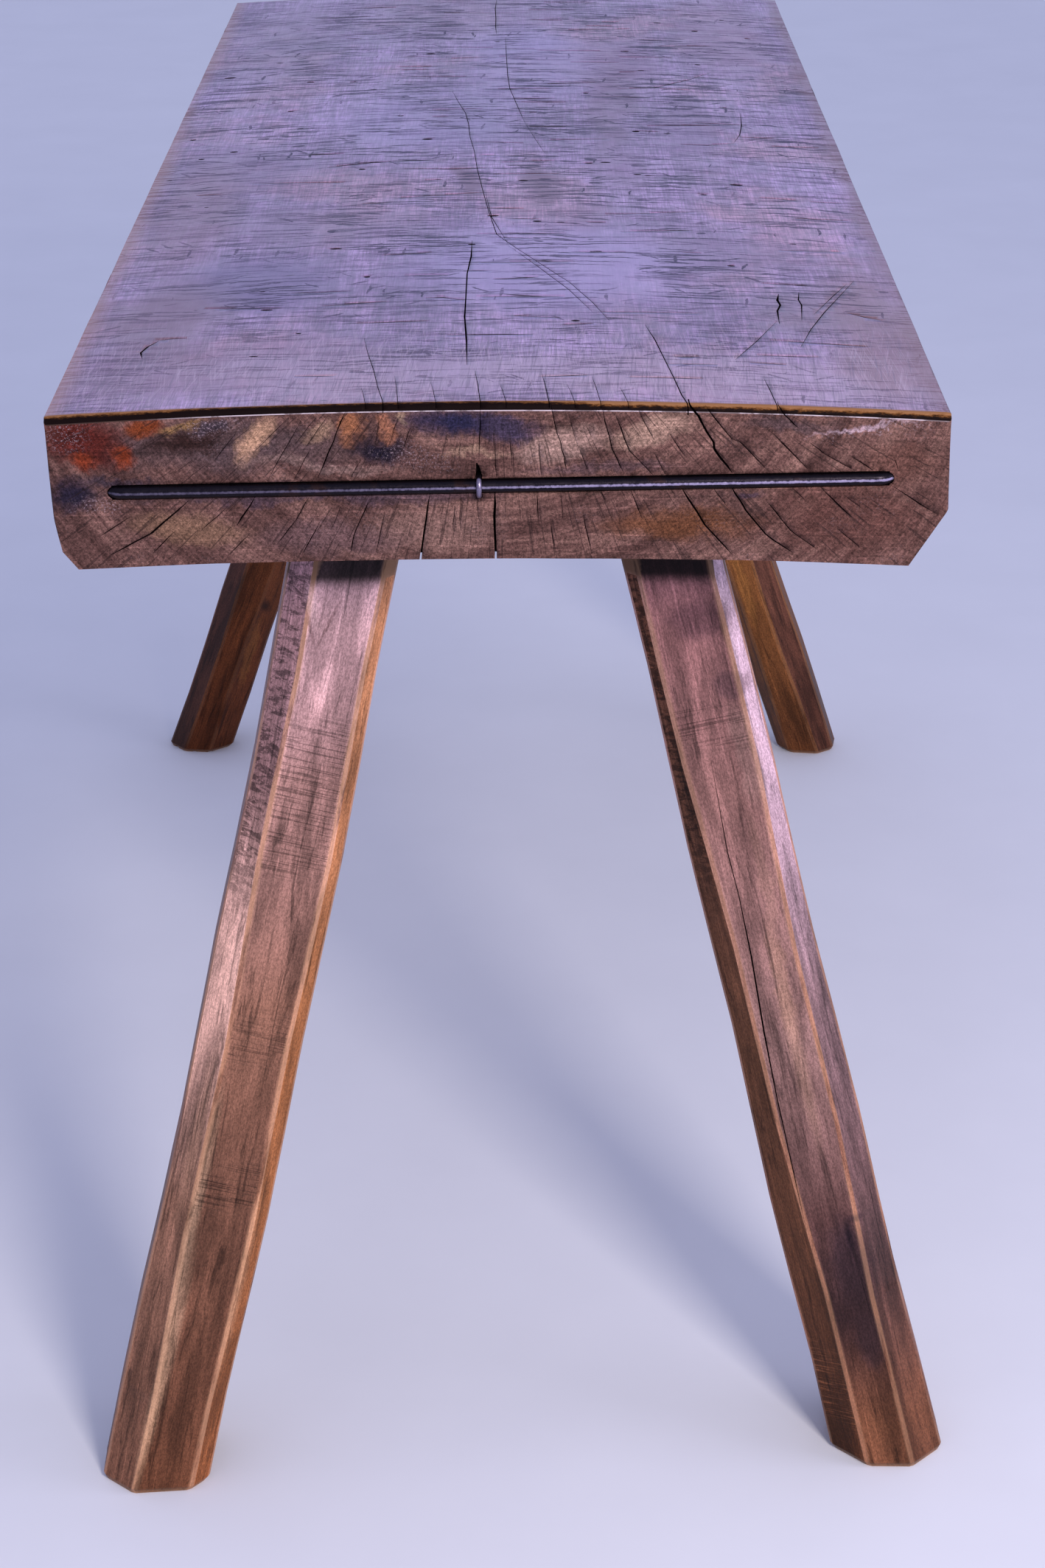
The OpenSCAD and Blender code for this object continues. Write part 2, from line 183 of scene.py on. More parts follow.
# The slab: one plank from the outside of a thick trunk, crowned on top by wear, hollow
# below, with natural edges left low on both sides and its end edges worn to a dark lip.
slab_l = slab_high.y - slab_low.y
slab_t = 97 * mm
top = slab_high.z
under = top - slab_t
crown = 8 * mm
hollow = 6.5 * mm
lean = 2.3 * mm
wane_right_h = 38 * mm
wane_right_w = 24 * mm
wane_left_h = 30 * mm
wane_left_w = 13 * mm
lip = 5 * mm
long_edge = 3.5 * mm
corner_edge = 2 * mm
thin_arris = 0.35 * mm
columns = 100


def pick(kind, test):
    """In edit mode, selects the vertices, edges or faces that pass a test."""
    bpy.ops.mesh.select_mode(type=kind)
    bpy.ops.mesh.select_all(action="DESELECT")
    shape = bmesh.from_edit_mesh(bpy.context.edit_object.data)
    parts = {"VERT": shape.verts, "EDGE": shape.edges, "FACE": shape.faces}[kind]
    for part in parts:
        if test(part):
            part.select_set(True)
    bmesh.update_edit_mesh(bpy.context.edit_object.data)


def run(part):
    """How far an edge runs along each axis."""
    a, b = (v.co for v in part.verts)
    return Vector((abs(a.x - b.x), abs(a.y - b.y), abs(a.z - b.z)))


bpy.ops.mesh.primitive_cube_add(size=1, location=(slab_x, slab_y, top - slab_t / 2),
    scale=(slab_w, slab_l, slab_t))
bpy.ops.object.transform_apply()
slab = bpy.context.object
slab.name = "slab"
bpy.ops.object.mode_set(mode="EDIT")
pick("EDGE", lambda e: run(e).x > slab_w / 2)
bpy.ops.mesh.subdivide(number_cuts=columns - 1)
for i in range(columns + 1):
    x = slab_x - slab_w / 2 + slab_w * i / columns
    fall = (2 * (x - slab_x) / slab_w) ** 2
    for z, depth in ((top, crown), (under, hollow)):
        pick("VERT", lambda v: abs(v.co.x - x) < 1e-4 and abs(v.co.z - z) < 1e-5)
        bpy.ops.transform.translate(value=(0, 0, -depth * fall))
pick("VERT", lambda v: v.co.z < under + mm)
bpy.ops.transform.translate(value=(lean, 0, 0))

# The natural edges, cut by flat strokes: one on the right, two on the left
right = slab_x + slab_w / 2 + lean
left = slab_x - slab_w / 2 + lean
low = under - hollow
for corner, flat in (
    (Vector((right, 0, low + wane_right_h)), Vector((right - wane_right_w, 0, low))),
    (Vector((left, 0, low + wane_left_h)), Vector((left + 4 * mm, 0, low + 9 * mm))),
    (Vector((left + 2.6 * mm, 0, low + 13 * mm)), Vector((left + wane_left_w, 0, low))),
):
    line = flat - corner
    out = Vector((line.z, 0, -line.x)).normalized()
    if out.z > 0:
        out.negate()
    bpy.ops.mesh.select_all(action="SELECT")
    bpy.ops.mesh.bisect(plane_co=corner, plane_no=out, use_fill=True, clear_outer=True)
    bpy.ops.mesh.select_all(action="SELECT")
    bpy.ops.mesh.remove_doubles(threshold=1e-5)

# Worn edges: the lips, the long top edges, and the others a little
end_y = slab_l / 2
pick("EDGE", lambda e: run(e).y < 1e-5 and all(v.co.z > top - crown - mm
    and abs(abs(v.co.y - slab_y) - end_y) < 1e-5 for v in e.verts) and run(e).x > mm)
bpy.ops.mesh.bevel(offset=lip, segments=4, profile=0.55, affect="EDGES")
pick("EDGE", lambda e: run(e).y > slab_l / 2 and all(v.co.z > top - crown - 2 * mm
    and abs(abs(v.co.x - slab_x) - slab_w / 2) < mm for v in e.verts))
bpy.ops.mesh.bevel(offset=long_edge, segments=3, profile=0.5, affect="EDGES")
pick("EDGE", lambda e: run(e).z > 30 * mm and all(abs(abs(v.co.y - slab_y) - end_y) < 1e-5
    and abs(v.co.x - slab_x) > 240 * mm for v in e.verts) and len(e.link_faces) == 2
    and abs(e.link_faces[0].normal.y) + abs(e.link_faces[1].normal.y) < 1.5)
bpy.ops.mesh.bevel(offset=corner_edge, segments=2, profile=0.5, affect="EDGES")

# A thin arris between each lip and the end grain below it, made pale by a painted highlight
pick("EDGE", lambda e: run(e).y < 1e-5 and run(e).x > mm and len(e.link_faces) == 2
    and any(abs(f.normal.y) > 0.999 for f in e.link_faces)
    and all(v.co.z > top - crown - lip - 2 * mm for v in e.verts))
bpy.ops.mesh.bevel(offset=thin_arris, segments=1, affect="EDGES")
for face in bmesh.from_edit_mesh(slab.data).faces:
    if face.select:
        face.material_index = 5

# Each face gets its finish: 0 the top, 1 and 2 the front and back end grain, 3 the sides
# and the underside, 4 the worn lips, and 5 the pale arrises under them
for index, test in (
    (3, lambda f: f.normal.z < 0.5 and abs(f.normal.y) < 0.5),
    (1, lambda f: f.normal.y < -0.3),
    (2, lambda f: f.normal.y > 0.3),
    (4, lambda f: 0.05 < abs(f.normal.y) < 0.999 and f.normal.z > 0.02
        and abs(f.calc_center_median().y - slab_y) > end_y - lip - mm),
):
    for face in bmesh.from_edit_mesh(slab.data).faces:
        if face.material_index != 5 and test(face):
            face.material_index = index

# A grid of about 5 mm all over, so that wear and tool marks can be pressed into it
for cuts in (1, 99):
    pick("EDGE", lambda e: run(e).y > slab_l / 4)
    bpy.ops.mesh.subdivide(number_cuts=cuts)
pick("EDGE", lambda e: run(e).z > 25 * mm and run(e).x < 12 * mm)
bpy.ops.mesh.subdivide(number_cuts=13)
bpy.ops.object.mode_set(mode="OBJECT")


def press_in(piece, name, size, depth, grain_line=None):
    """Presses clouds of a size and a depth into a piece, only inwards. With a grain line,
    they are measured along it and only the piece's own group of vertices moves."""
    clouds = bpy.data.textures.new(name, "CLOUDS")
    clouds.noise_scale = size
    wear = piece.modifiers.new(name, "DISPLACE")
    wear.texture = clouds
    wear.strength = depth
    wear.mid_level = 1
    if grain_line:
        wear.texture_coords = "OBJECT"
        wear.texture_coords_object = grain_line
        wear.vertex_group = piece.vertex_groups[0].name
    bpy.ops.object.modifier_apply(modifier=name)


# Wear: shallow hollows over the whole face, and finer unevenness
press_in(slab, "long_wear", 0.16, 1.1 * mm)
press_in(slab, "short_wear", 0.03, 0.3 * mm)


def relief(shader, height, depth):
    """Bumps the shader by a height and its depth in metres."""
    bump = node("Bump", {"Height": height, "Distance": depth, "Strength": 1.0})
    feed(shader, "Normal", bump.outputs[0])


def axes(place):
    """The three coordinates of a place."""
    return node("SeparateXYZ", {0: place}).outputs


def shade(colour, value):
    """A colour made lighter or darker by a value."""
    return node("VectorMath", {0: colour, 3: value}, operation="SCALE").outputs[0]


def vectors(operation, *values):
    """Works out vectors by a named operation."""
    return node("VectorMath", dict(enumerate(values)), operation=operation).outputs


def ramp(value, stops):
    """A colour that changes along a value, through stops of (place, colour)."""
    made = node("ValToRGB", {0: value})
    bands = made.color_ramp.elements
    while len(bands) < len(stops):
        bands.new(0.5)
    for band, (at, colour) in zip(bands, stops):
        band.position = at
        band.color = (*colour, 1)
    return made.outputs[0]


def patch(place, middle, size, soft=0.4, turn=0):
    """A soft-edged patch: 1 inside an ellipsoid and 0 outside, its middle and half sizes
    in mm, turned about Y by degrees."""
    mapped = node("Mapping", {"Vector": place, "Location": [c * mm for c in middle],
        "Rotation": (0, math.radians(turn), 0), "Scale": [s * mm for s in size]},
        vector_type="TEXTURE").outputs[0]
    return step(vectors("LENGTH", mapped)["Value"], 1 + soft, 1 - soft)


def warped(place, scale, amount):
    """The place, pushed about by noise so that patches get ragged edges."""
    cloud = node("TexNoise", {"Vector": place, "Scale": scale, "Detail": 4}).outputs["Color"]
    push = vectors("SUBTRACT", cloud, (0.5, 0.5, 0.5))[0]
    return vectors("ADD", place, shade(push, amount))[0]


def from_slab(place):
    """The place measured from the middle of the slab's plan, at the height of its top."""
    return vectors("SUBTRACT", place, (slab_x, slab_y, top))[0]


def dashes(place, gap, long, wide, turn=0, seed=0, least=0.3):
    """Crisp cuts of many lengths, one to a cell: the gap between them in mm, how many times
    longer than wide they are, their greatest width as a share of the gap, and their turn."""
    cell = node("Mapping", {"Vector": place, "Scale": (gap * long * mm, gap * mm, 1),
        "Rotation": (0, 0, math.radians(turn)), "Location": (seed, seed * 0.7, 0)},
        vector_type="TEXTURE").outputs[0]
    cell = node("TexVoronoi", {"Vector": cell, "Scale": 1}, voronoi_dimensions="2D")
    size = node("SeparateColor", {0: cell.outputs["Color"]}).outputs[0]
    size = step(size, least, 1, 0, wide / 2)
    return step(less(size, cell.outputs["Distance"]), 0, 0.03)


# The top: greasy wood under wax, its lavender partly the wax's own sheen and partly a
# painted sheen held in its colour, crossed by years of knife marks, stained brown in
# places, scratched lengthways behind the lip and tan along its left edge
top_wood, shader, place = material("top_wood", 0.4, Coat_Roughness=0.3,
    Sheen_Weight=0.08, Sheen_Roughness=0.5)
shader.inputs["Sheen Tint"].default_value = (0.25, 0.18, 1, 1)
place = from_slab(place)
x, y = axes(place)[:2]
rough_place = warped(warped(place, 9, 0.05), 60, 0.012)
cloud = noise(place, 6, detail=7, rough=0.62, stretch=(1, 1.8, 1))
# The blue and lavender in these colours and in the lavender patches below are painted sheen: the
# wax's reflection of cool light put into the wood's own colour.
tone = ramp(cloud, ((0.36, (0.130, 0.075, 0.160)), (0.49, (0.245, 0.150, 0.285)),
    (0.62, (0.330, 0.212, 0.395))))
pink = noise(place, 7, detail=6, rough=0.62, stretch=(1, 1.5, 1), seed=3)
tone = blend(step(pink, 0.48, 0.64, 0, 0.75), tone, (0.31, 0.155, 0.215))
grain = noise(place, 150, detail=5, rough=0.7, stretch=(1, 26, 1))
tone = shade(tone, step(grain, 0.38, 0.62, 1.15, 0.8))
fibre = noise(place, 900, detail=3, rough=0.7, stretch=(1, 30, 1), seed=2)
tone = shade(tone, step(fibre, 0.4, 0.6, 0.72, 1.3))
mottle = noise(place, 170, detail=7, rough=0.8, stretch=(2.2, 1.4, 1), seed=7)
tone = shade(tone, step(mottle, 0.4, 0.58, 1.22, 0.7))
for middle, size, colour, share in (
    ((-30, -115), (9, 46), (0.11, 0.035, 0.06), 0.95),
    ((28, -131), (12, 60), (0.11, 0.035, 0.06), 0.95),
    ((62, -250), (12, 60), (0.15, 0.065, 0.11), 0.6),
    ((84, 150), (16, 180), (0.12, 0.045, 0.09), 0.75),
    ((98, 240), (12, 110), (0.10, 0.038, 0.08), 0.75),
    ((98, 330), (40, 110), (0.17, 0.075, 0.15), 0.7),
    ((150, 60), (22, 120), (0.14, 0.075, 0.16), 0.6),
    ((90, -80), (24, 60), (0.17, 0.085, 0.17), 0.6),
    ((200, 480), (40, 180), (0.25, 0.125, 0.20), 0.6),
    ((-45, 560), (90, 110), (0.15, 0.08, 0.14), 0.5),
    ((-205, -600), (60, 60), (0.17, 0.080, 0.12), 0.75),
    ((-120, -560), (50, 40), (0.20, 0.110, 0.19), 0.6),
    ((-200, 450), (50, 200), (0.17, 0.095, 0.16), 0.5),
    ((-165, -400), (60, 70), (0.09, 0.055, 0.15), 0.85),
    ((-215, -480), (36, 90), (0.13, 0.058, 0.08), 0.85),
    ((-130, -250), (70, 60), (0.15, 0.085, 0.15), 0.6),
    ((-200, -60), (50, 80), (0.15, 0.085, 0.17), 0.6),
    ((150, -330), (60, 60), (0.16, 0.095, 0.17), 0.5),
    ((-225, -200), (30, 160), (0.19, 0.09, 0.11), 0.6),
    ((-60, 100), (70, 120), (0.23, 0.18, 0.35), 0.6),
    ((30, -360), (90, 110), (0.29, 0.22, 0.43), 0.75),
    ((20, 330), (50, 160), (0.25, 0.19, 0.38), 0.7),
    ((150, -620), (150, 50), (0.33, 0.22, 0.29), 0.6),
    ((-60, -620), (110, 50), (0.31, 0.22, 0.31), 0.6),
    ((238, -500), (32, 150), (0.16, 0.07, 0.06), 0.75),
    ((190, -470), (26, 50), (0.15, 0.085, 0.11), 0.6),
):
    mask = patch(rough_place, (*middle, 0), (*size, 900), soft=0.5)
    tone = blend(times(mask, share), tone, colour)

# Knife marks: fine dark dashes across the grain in several directions, with busy zones
busy = times(step(noise(place, 9, detail=6, seed=5), 0.4, 0.56, 0.4, 1),
    step(patch(rough_place, (20, 60, 0), (290, 640, 900), soft=0.4), 0, 1, 0.6, 1))
bent = warped(warped(place, 14, 0.016), 110, 0.0035)
far = step(y, -0.3, 0.1, 0.6, 1)
marks = None
for gap, long, wide, turn, seed, least, reach in (
    (6, 16, 0.55, 0, 1, 0.3, 1), (5, 15, 0.6, 3, 2, 0.4, 1), (7, 12, 0.5, -4, 3, 0.35, 1),
    (7, 14, 0.42, 9, 4, 0.5, 1), (9, 9, 0.4, -13, 5, 0.5, 1), (10, 6, 0.3, 34, 6, 0.6, 1),
    (12, 7, 0.24, -50, 7, 0.6, 1), (11, 9, 0.24, 84, 8, 0.6, 1), (14, 9, 0.5, 1, 9, 0.3, far),
    (17, 6, 0.42, -3, 10, 0.35, far), (3.5, 30, 0.6, 0, 11, 0.2, 1), (22, 1.7, 0.3, 0, 12, 0.7, 1),
):
    dash = times(dashes(bent, gap, long, wide, turn, seed, least), reach)
    marks = most(marks, dash) if marks else dash
faint = noise(place, 300, detail=5, rough=0.75, stretch=(2.5, 1, 1), seed=16)
marks = times(marks, step(faint, 0.36, 0.5, 0.3, 1))
deep = times(marks, busy)
tone = blend(deep, tone, shade(tone, 0.08))

# Fine pale scratches along the slab near its front, with some dark ones between them
front = step(y, -0.44, -0.58)
for low, scale, thick, turn, seed, share, colour in (
    (0.57, 1500, 90, 4, 8, 0.3, (0.50, 0.37, 0.48)),
    (0.59, 1400, 70, -9, 17, 0.28, (0.50, 0.37, 0.48)),
    (0.57, 1100, 60, -3, 9, 0.55, (0.08, 0.045, 0.07)),
):
    line = noise(place, scale, detail=1, stretch=(1, thick, 1), turn=turn, seed=seed)
    line = times(step(line, low, low + 0.08, 0, share), front)
    tone = blend(line, tone, colour)

# The worn long edges, tan on the left, the ochre rim behind the lip, and specks. The
# colour holds a little less blue, because the sheen adds some.
left_edge = step(plus(x, times(cloud, 0.03)), -0.234, -0.254)
tone = blend(times(left_edge, 0.85), tone, (0.27, 0.13, 0.085))
right_edge = step(plus(x, times(pink, 0.03)), 0.262, 0.278)
tone = blend(times(right_edge, 0.7), tone, (0.15, 0.07, 0.06))
rim = step(sums("ABSOLUTE", y), end_y - lip - 2.5 * mm, end_y - lip - 0.5 * mm)
tone = blend(times(rim, 0.7), tone, (0.16, 0.07, 0.03))
specks = step(noise(place, 150, detail=2, rough=0.6, stretch=(2, 1, 1), seed=12), 0.71, 0.76)
tone = blend(times(specks, 0.85), tone, (0.03, 0.02, 0.03))
less_blue = (0.98, 0.98, 0.92)
feed(shader, "Base Color", vectors("MULTIPLY", tone, less_blue)[0])
feed(shader, "Coat Weight", step(deep, 0, 1, 0.5, 0.1))
wax = noise(place, 30, detail=5, rough=0.65, seed=14)
feed(shader, "Roughness", step(plus(wax, times(marks, 0.3)), 0.3, 0.9, 0.34, 0.6))
relief(shader, less(times(grain, 0.3), deep), 0.25 * mm)


pith_rise = 98 * mm


def end_grain(name, stains, scuffs, seed):
    """End grain: rings and fine rays about the pith, which lies above the slab, with
    stains, streaks and dirt. Stains are (x, z, half width, half height, turn, colour,
    share), in mm from the middle of the width and down from the top, and scuffs hold the
    first four of these."""
    made, shader, place = material(name, 0.5, Specular_IOR_Level=0.06)
    place = from_slab(place)
    x, y, z = axes(place)
    drop = less(pith_rise, z)
    angle = sums("ARCTAN2", x, drop)
    flat = node("CombineXYZ", {0: x, 2: drop}).outputs[0]
    reach = vectors("LENGTH", flat)["Value"]
    about = node("CombineXYZ", {0: times(angle, 0.15), 1: y, 2: reach}).outputs[0]
    ragged = warped(warped(place, 35, 0.022), 220, 0.009)
    ring = noise(about, 90, detail=7, rough=0.7, warp=0.4, stretch=(6, 1, 1), seed=seed)
    tone = ramp(ring, ((0.36, (0.048, 0.023, 0.020)), (0.5, (0.088, 0.044, 0.038)),
        (0.64, (0.145, 0.077, 0.064))))
    for sx, sz, wide, high, turn, colour, share in stains:
        mask = patch(ragged, (sx, 0, sz), (wide, 900, high), soft=0.25, turn=turn)
        tone = blend(times(mask, share), tone, colour)
    streak = noise(place, 330, detail=6, rough=0.75, stretch=(26, 1, 1), seed=seed)
    tone = blend(step(streak, 0.5, 0.68, 0, 0.65), tone, shade(tone, 0.4))
    rub = noise(place, 520, detail=3, rough=0.7, stretch=(34, 1, 1), seed=seed + 5)
    tone = blend(step(rub, 0.56, 0.7, 0, 0.5), tone, shade(tone, 2.1))
    cells = noise(place, 620, detail=6, rough=0.9, warp=0.6, seed=seed + 1)
    tone = shade(tone, step(cells, 0.38, 0.62, 0.45, 1.75))
    arcs = noise(about, 700, detail=3, rough=0.7, stretch=(4, 1, 1), seed=seed + 1)
    tone = shade(tone, step(arcs, 0.4, 0.6, 0.85, 1.15))
    rays = noise(about, 800, detail=3, rough=0.7, stretch=(1, 8, 9), seed=seed + 6)
    tone = shade(tone, step(rays, 0.4, 0.6, 0.86, 1.14))
    fine = step(noise(about, 900, detail=1, stretch=(1, 8, 40), seed=seed + 2), 0.64, 0.68)
    tone = blend(times(fine, 0.55), tone, (0.018, 0.010, 0.010))
    flecks = noise(place, 700, detail=4, rough=0.8, warp=0.4, seed=seed + 4)
    zone = step(noise(place, 30, seed=seed + 8), 0.55, 0.7, 0, 0.25)
    for sx, sz, wide, high, turn in scuffs:
        zone = most(zone, patch(ragged, (sx, 0, sz), (wide, 900, high), turn=turn))
    flecks = times(step(flecks, 0.55, 0.62), zone)
    tone = blend(times(flecks, 0.75), tone, (0.38, 0.28, 0.32))
    feed(shader, "Base Color", tone)
    feed(shader, "Roughness", step(streak, 0.3, 0.75, 0.36, 0.6))
    height = less(plus(times(cells, 0.35), times(streak, 0.4)), fine)
    relief(shader, height, 0.22 * mm)
    return made


front_end = end_grain("front_end_grain", (
    (-185, -78, 46, 14, 8, (0.165, 0.092, 0.058), 0.7),
    (-40, -78, 52, 20, 0, (0.165, 0.095, 0.080), 0.65),
    (-100, -84, 60, 14, 0, (0.093, 0.052, 0.053), 0.8),
    (108, -76, 64, 15, 0, (0.088, 0.033, 0.015), 0.9),
    (205, -70, 70, 34, 0, (0.066, 0.028, 0.023), 0.85),
    (-110, -56, 140, 8, 0, (0.051, 0.032, 0.045), 0.8),
    (-160, -26, 120, 20, 0, (0.060, 0.039, 0.042), 0.8),
    (148, -56, 11, 3, 0, (0.035, 0.022, 0.035), 0.8),
    (-252, -56, 20, 13, 0, (0.012, 0.009, 0.018), 1.0),
    (-226, -48, 34, 5, 2, (0.030, 0.020, 0.028), 0.9),
    (-242, -24, 34, 22, 0, (0.062, 0.010, 0.007), 0.98),
    (-205, -15, 17, 9, 0, (0.115, 0.024, 0.006), 0.95),
    (-219, -32, 11, 10, 0, (0.130, 0.022, 0.007), 0.95),
    (-244, -36, 10, 7, 0, (0.130, 0.022, 0.008), 0.9),
    (-186, -15, 17, 5, -24, (0.150, 0.082, 0.036), 0.95),
    (-184, -25, 34, 11, -10, (0.022, 0.010, 0.009), 1.0),
    (-168, -14, 14, 6, -12, (0.030, 0.022, 0.030), 0.9),
    (-142, -22, 22, 10, -42, (0.320, 0.185, 0.120), 0.95),
    (-102, -17, 15, 8, -38, (0.190, 0.115, 0.080), 0.9),
    (-83, -16, 9, 12, -20, (0.200, 0.078, 0.038), 0.95),
    (-69, -30, 24, 11, 15, (0.008, 0.006, 0.013), 1.0),
    (-64, -17, 5.5, 12, -15, (0.210, 0.085, 0.050), 0.95),
    (-54, -12, 4, 8, -15, (0.250, 0.160, 0.105), 0.9),
    (-22, -14, 46, 12, 0, (0.013, 0.012, 0.032), 1.0),
    (-14, -31, 26, 4, -4, (0.190, 0.115, 0.085), 0.85),
    (8, -15, 30, 10, 6, (0.030, 0.022, 0.042), 0.95),
    (38, -25, 38, 12, -8, (0.215, 0.135, 0.115), 0.9),
    (90, -19, 34, 11, -16, (0.225, 0.140, 0.110), 0.9),
    (60, -40, 60, 5, 0, (0.070, 0.040, 0.045), 0.7),
    (172, -14, 34, 6, 6, (0.060, 0.036, 0.038), 0.9),
    (236, -38, 34, 18, 0, (0.085, 0.038, 0.030), 0.8),
    (215, -16, 40, 2.5, -9, (0.300, 0.220, 0.260), 0.6),
    (-105, -38, 60, 4, 4, (0.150, 0.095, 0.085), 0.6),
), ((-250, -20, 16, 14, 0), (-238, -62, 18, 7, 0), (222, -17, 46, 4, -8), (-170, -14, 20, 9, 0),
    (-50, -34, 32, 8, 10)), 21)
back_end = end_grain("back_end_grain", (
    (60, -70, 210, 26, 0, (0.109, 0.060, 0.050), 0.7),
    (-150, -25, 70, 14, 8, (0.245, 0.144, 0.090), 0.8),
    (120, -28, 90, 16, -6, (0.045, 0.031, 0.039), 0.8),
    (215, -60, 30, 24, 0, (0.120, 0.039, 0.025), 0.8),
), ((200, -20, 40, 8, 0),), 37)

# The sides and the underside: bark-side wood, darker and drier, with the marks of the
# drawknife along the sides and of the saw across the underside
side_wood, shader, place = material("side_wood", 0.55, Specular_IOR_Level=0.15)
place = from_slab(place)
board = noise(place, 26, detail=8, rough=0.7, warp=0.5, stretch=(1, 7, 1), seed=41)
tone = ramp(board, ((0.36, (0.070, 0.032, 0.022)), (0.5, (0.145, 0.075, 0.050)),
    (0.64, (0.24, 0.135, 0.092))))
streak = noise(place, 130, detail=7, rough=0.75, warp=0.4, stretch=(1, 18, 1), seed=42)
tone = shade(tone, step(streak, 0.38, 0.62, 0.6, 1.45))
age = noise(place, 8, detail=6, rough=0.65, seed=43)
tone = blend(step(age, 0.45, 0.62, 0, 0.7), tone, (0.115, 0.070, 0.072))
pores = noise(place, 900, detail=4, rough=0.8, stretch=(1, 10, 1), seed=44)
tone = shade(tone, step(pores, 0.4, 0.6, 0.6, 1.4))
splits = noise(place, 300, detail=2, rough=0.5, warp=0.2, stretch=(1, 60, 1), seed=46)
splits = times(step(splits, 0.62, 0.66), step(age, 0.42, 0.56))
tone = blend(times(splits, 0.9), tone, (0.010, 0.006, 0.005))
stain = noise(place, 45, detail=6, rough=0.8, seed=47)
tone = blend(step(stain, 0.6, 0.68, 0, 0.7), tone, (0.035, 0.016, 0.012))
feed(shader, "Base Color", tone)
sawn = noise(place, 260, detail=3, stretch=(9, 1, 3), turn=4, seed=45)
height = plus(times(streak, 0.8), times(sawn, 0.8))
relief(shader, less(height, splits), 0.4 * mm)

# The worn lip: near black on the left and golden to the right, ochre along its top and darker down
# its round
lip_wood, shader, place = material("lip_wood", 0.5, Specular_IOR_Level=0.02)
place = from_slab(place)
x, y, z = axes(place)
grit = noise(place, 620, detail=5, rough=0.8, stretch=(3, 1, 1), seed=51)
along = noise(place, 22, detail=4, seed=52)
golden = step(plus(x, times(along, 0.12)), 0.05, 0.16, 0.10, 0.62)
golden = most(golden, step(x, -0.17, -0.2, 0.1, 0.34))
bow = times(times(x, x), 4 * crown / slab_w ** 2)
round_arc = less(sums("ABSOLUTE", y), plus(z, bow))
down = step(round_arc, end_y - lip, end_y + lip)
down = plus(less(down, golden), times(grit, 1.2))
tone = ramp(down, ((0.36, (0.24, 0.115, 0.05)), (0.52, (0.13, 0.052, 0.016)),
    (0.66, (0.03, 0.012, 0.005)), (0.8, (0.006, 0.003, 0.003))))
feed(shader, "Base Color", tone)
relief(shader, grit, 0.2 * mm)

# The pale arris under the lip: a painted highlight, broken up by noise and faded out to the left
arris_highlight, shader, place = material("arris_highlight", 0.4, Specular_IOR_Level=0.2)
place = from_slab(place)
x = axes(place)[0]
rub = noise(place, 60, detail=6, rough=0.7, seed=61)
share = times(step(rub, 0.42, 0.56, 0.25, 1), step(x, -0.215, -0.15))
feed(shader, "Base Color", blend(share, (0.04, 0.02, 0.014), (0.44, 0.37, 0.41)))
relief(shader, rub, 0.2 * mm)

for finish in (top_wood, front_end, back_end, side_wood, lip_wood, arris_highlight):
    slab.data.materials.append(finish)

# The inside of every split, cut and groove: nearly black, partly old fat and partly
# painted shade for the hollow, a little lighter where dust lies
crack_dark, shader, place = material("crack_dark", 0.8, Specular_IOR_Level=0.02)
dust = noise(place, 400, detail=4)
feed(shader, "Base Color", blend(dust, (0.003, 0.002, 0.003), (0.010, 0.006, 0.007)))


# Everything that splits or scars the slab is cut by thin blades, each drawn along a line
# with the width that it opens to at each point. Drying checks follow the rays from the
# pith, cracks wander along the grain, and knife cuts lie across the top.
def blade(path, widths, across, down, depth, over=1.5 * mm):
    """A thin closed blade along a path, in edit mode. across is the axis of its width and
    down that of its depth, and it stands a little out of the wood."""
    turn = {"XY": (0, 0, 0), "XZ": (math.pi / 2, 0, 0), "YZ": (0, math.pi / 2, 0)}[across + down]
    sink = Vector((0, 1, 0)) if down == "Y" else Vector((0, 0, -1))
    points = [Vector(p) + sink * (depth - over) / 2 for p in path]
    bpy.ops.mesh.select_all(action="DESELECT")
    bpy.ops.mesh.primitive_plane_add(size=1, location=points[0], rotation=turn)
    size = Vector((1, 1, 1))
    size["XYZ".index(across)] = widths[0]
    size["XYZ".index(down)] = depth + over
    bpy.ops.transform.resize(value=size, center_override=points[0])
    for i in range(1, len(points)):
        bpy.ops.mesh.extrude_region_move(
            TRANSFORM_OT_translate={"value": points[i] - points[i - 1]})
        size = Vector((1, 1, 1))
        size["XYZ".index(across)] = widths[i] / widths[i - 1]
        bpy.ops.transform.resize(value=size, center_override=points[i])


def take_up(piece):
    """Makes a piece the only one selected."""
    bpy.ops.object.select_all(action="DESELECT")
    bpy.context.view_layer.objects.active = piece
    piece.select_set(True)


def cutter(name, finish=crack_dark):
    """A new empty cutter in edit mode, which leaves faces of a finish."""
    bpy.ops.object.select_all(action="DESELECT")
    bpy.ops.mesh.primitive_plane_add()
    tool = bpy.context.object
    tool.name = name
    tool.data.materials.append(finish)
    bpy.ops.object.mode_set(mode="EDIT")
    bpy.ops.mesh.delete(type="VERT")
    return tool


def cut(piece, tool):
    """Turns the faces of a cutter in edit mode outwards, takes it out of the piece and
    removes it."""
    bpy.ops.mesh.select_all(action="SELECT")
    bpy.ops.mesh.normals_make_consistent(inside=False)
    bpy.ops.object.mode_set(mode="OBJECT")
    take_up(piece)
    take = piece.modifiers.new("take", "BOOLEAN")
    take.operation = "DIFFERENCE"
    take.solver = "MANIFOLD"
    take.material_mode = "TRANSFER"
    take.object = tool
    bpy.ops.object.modifier_apply(modifier="take")
    bpy.data.objects.remove(tool)


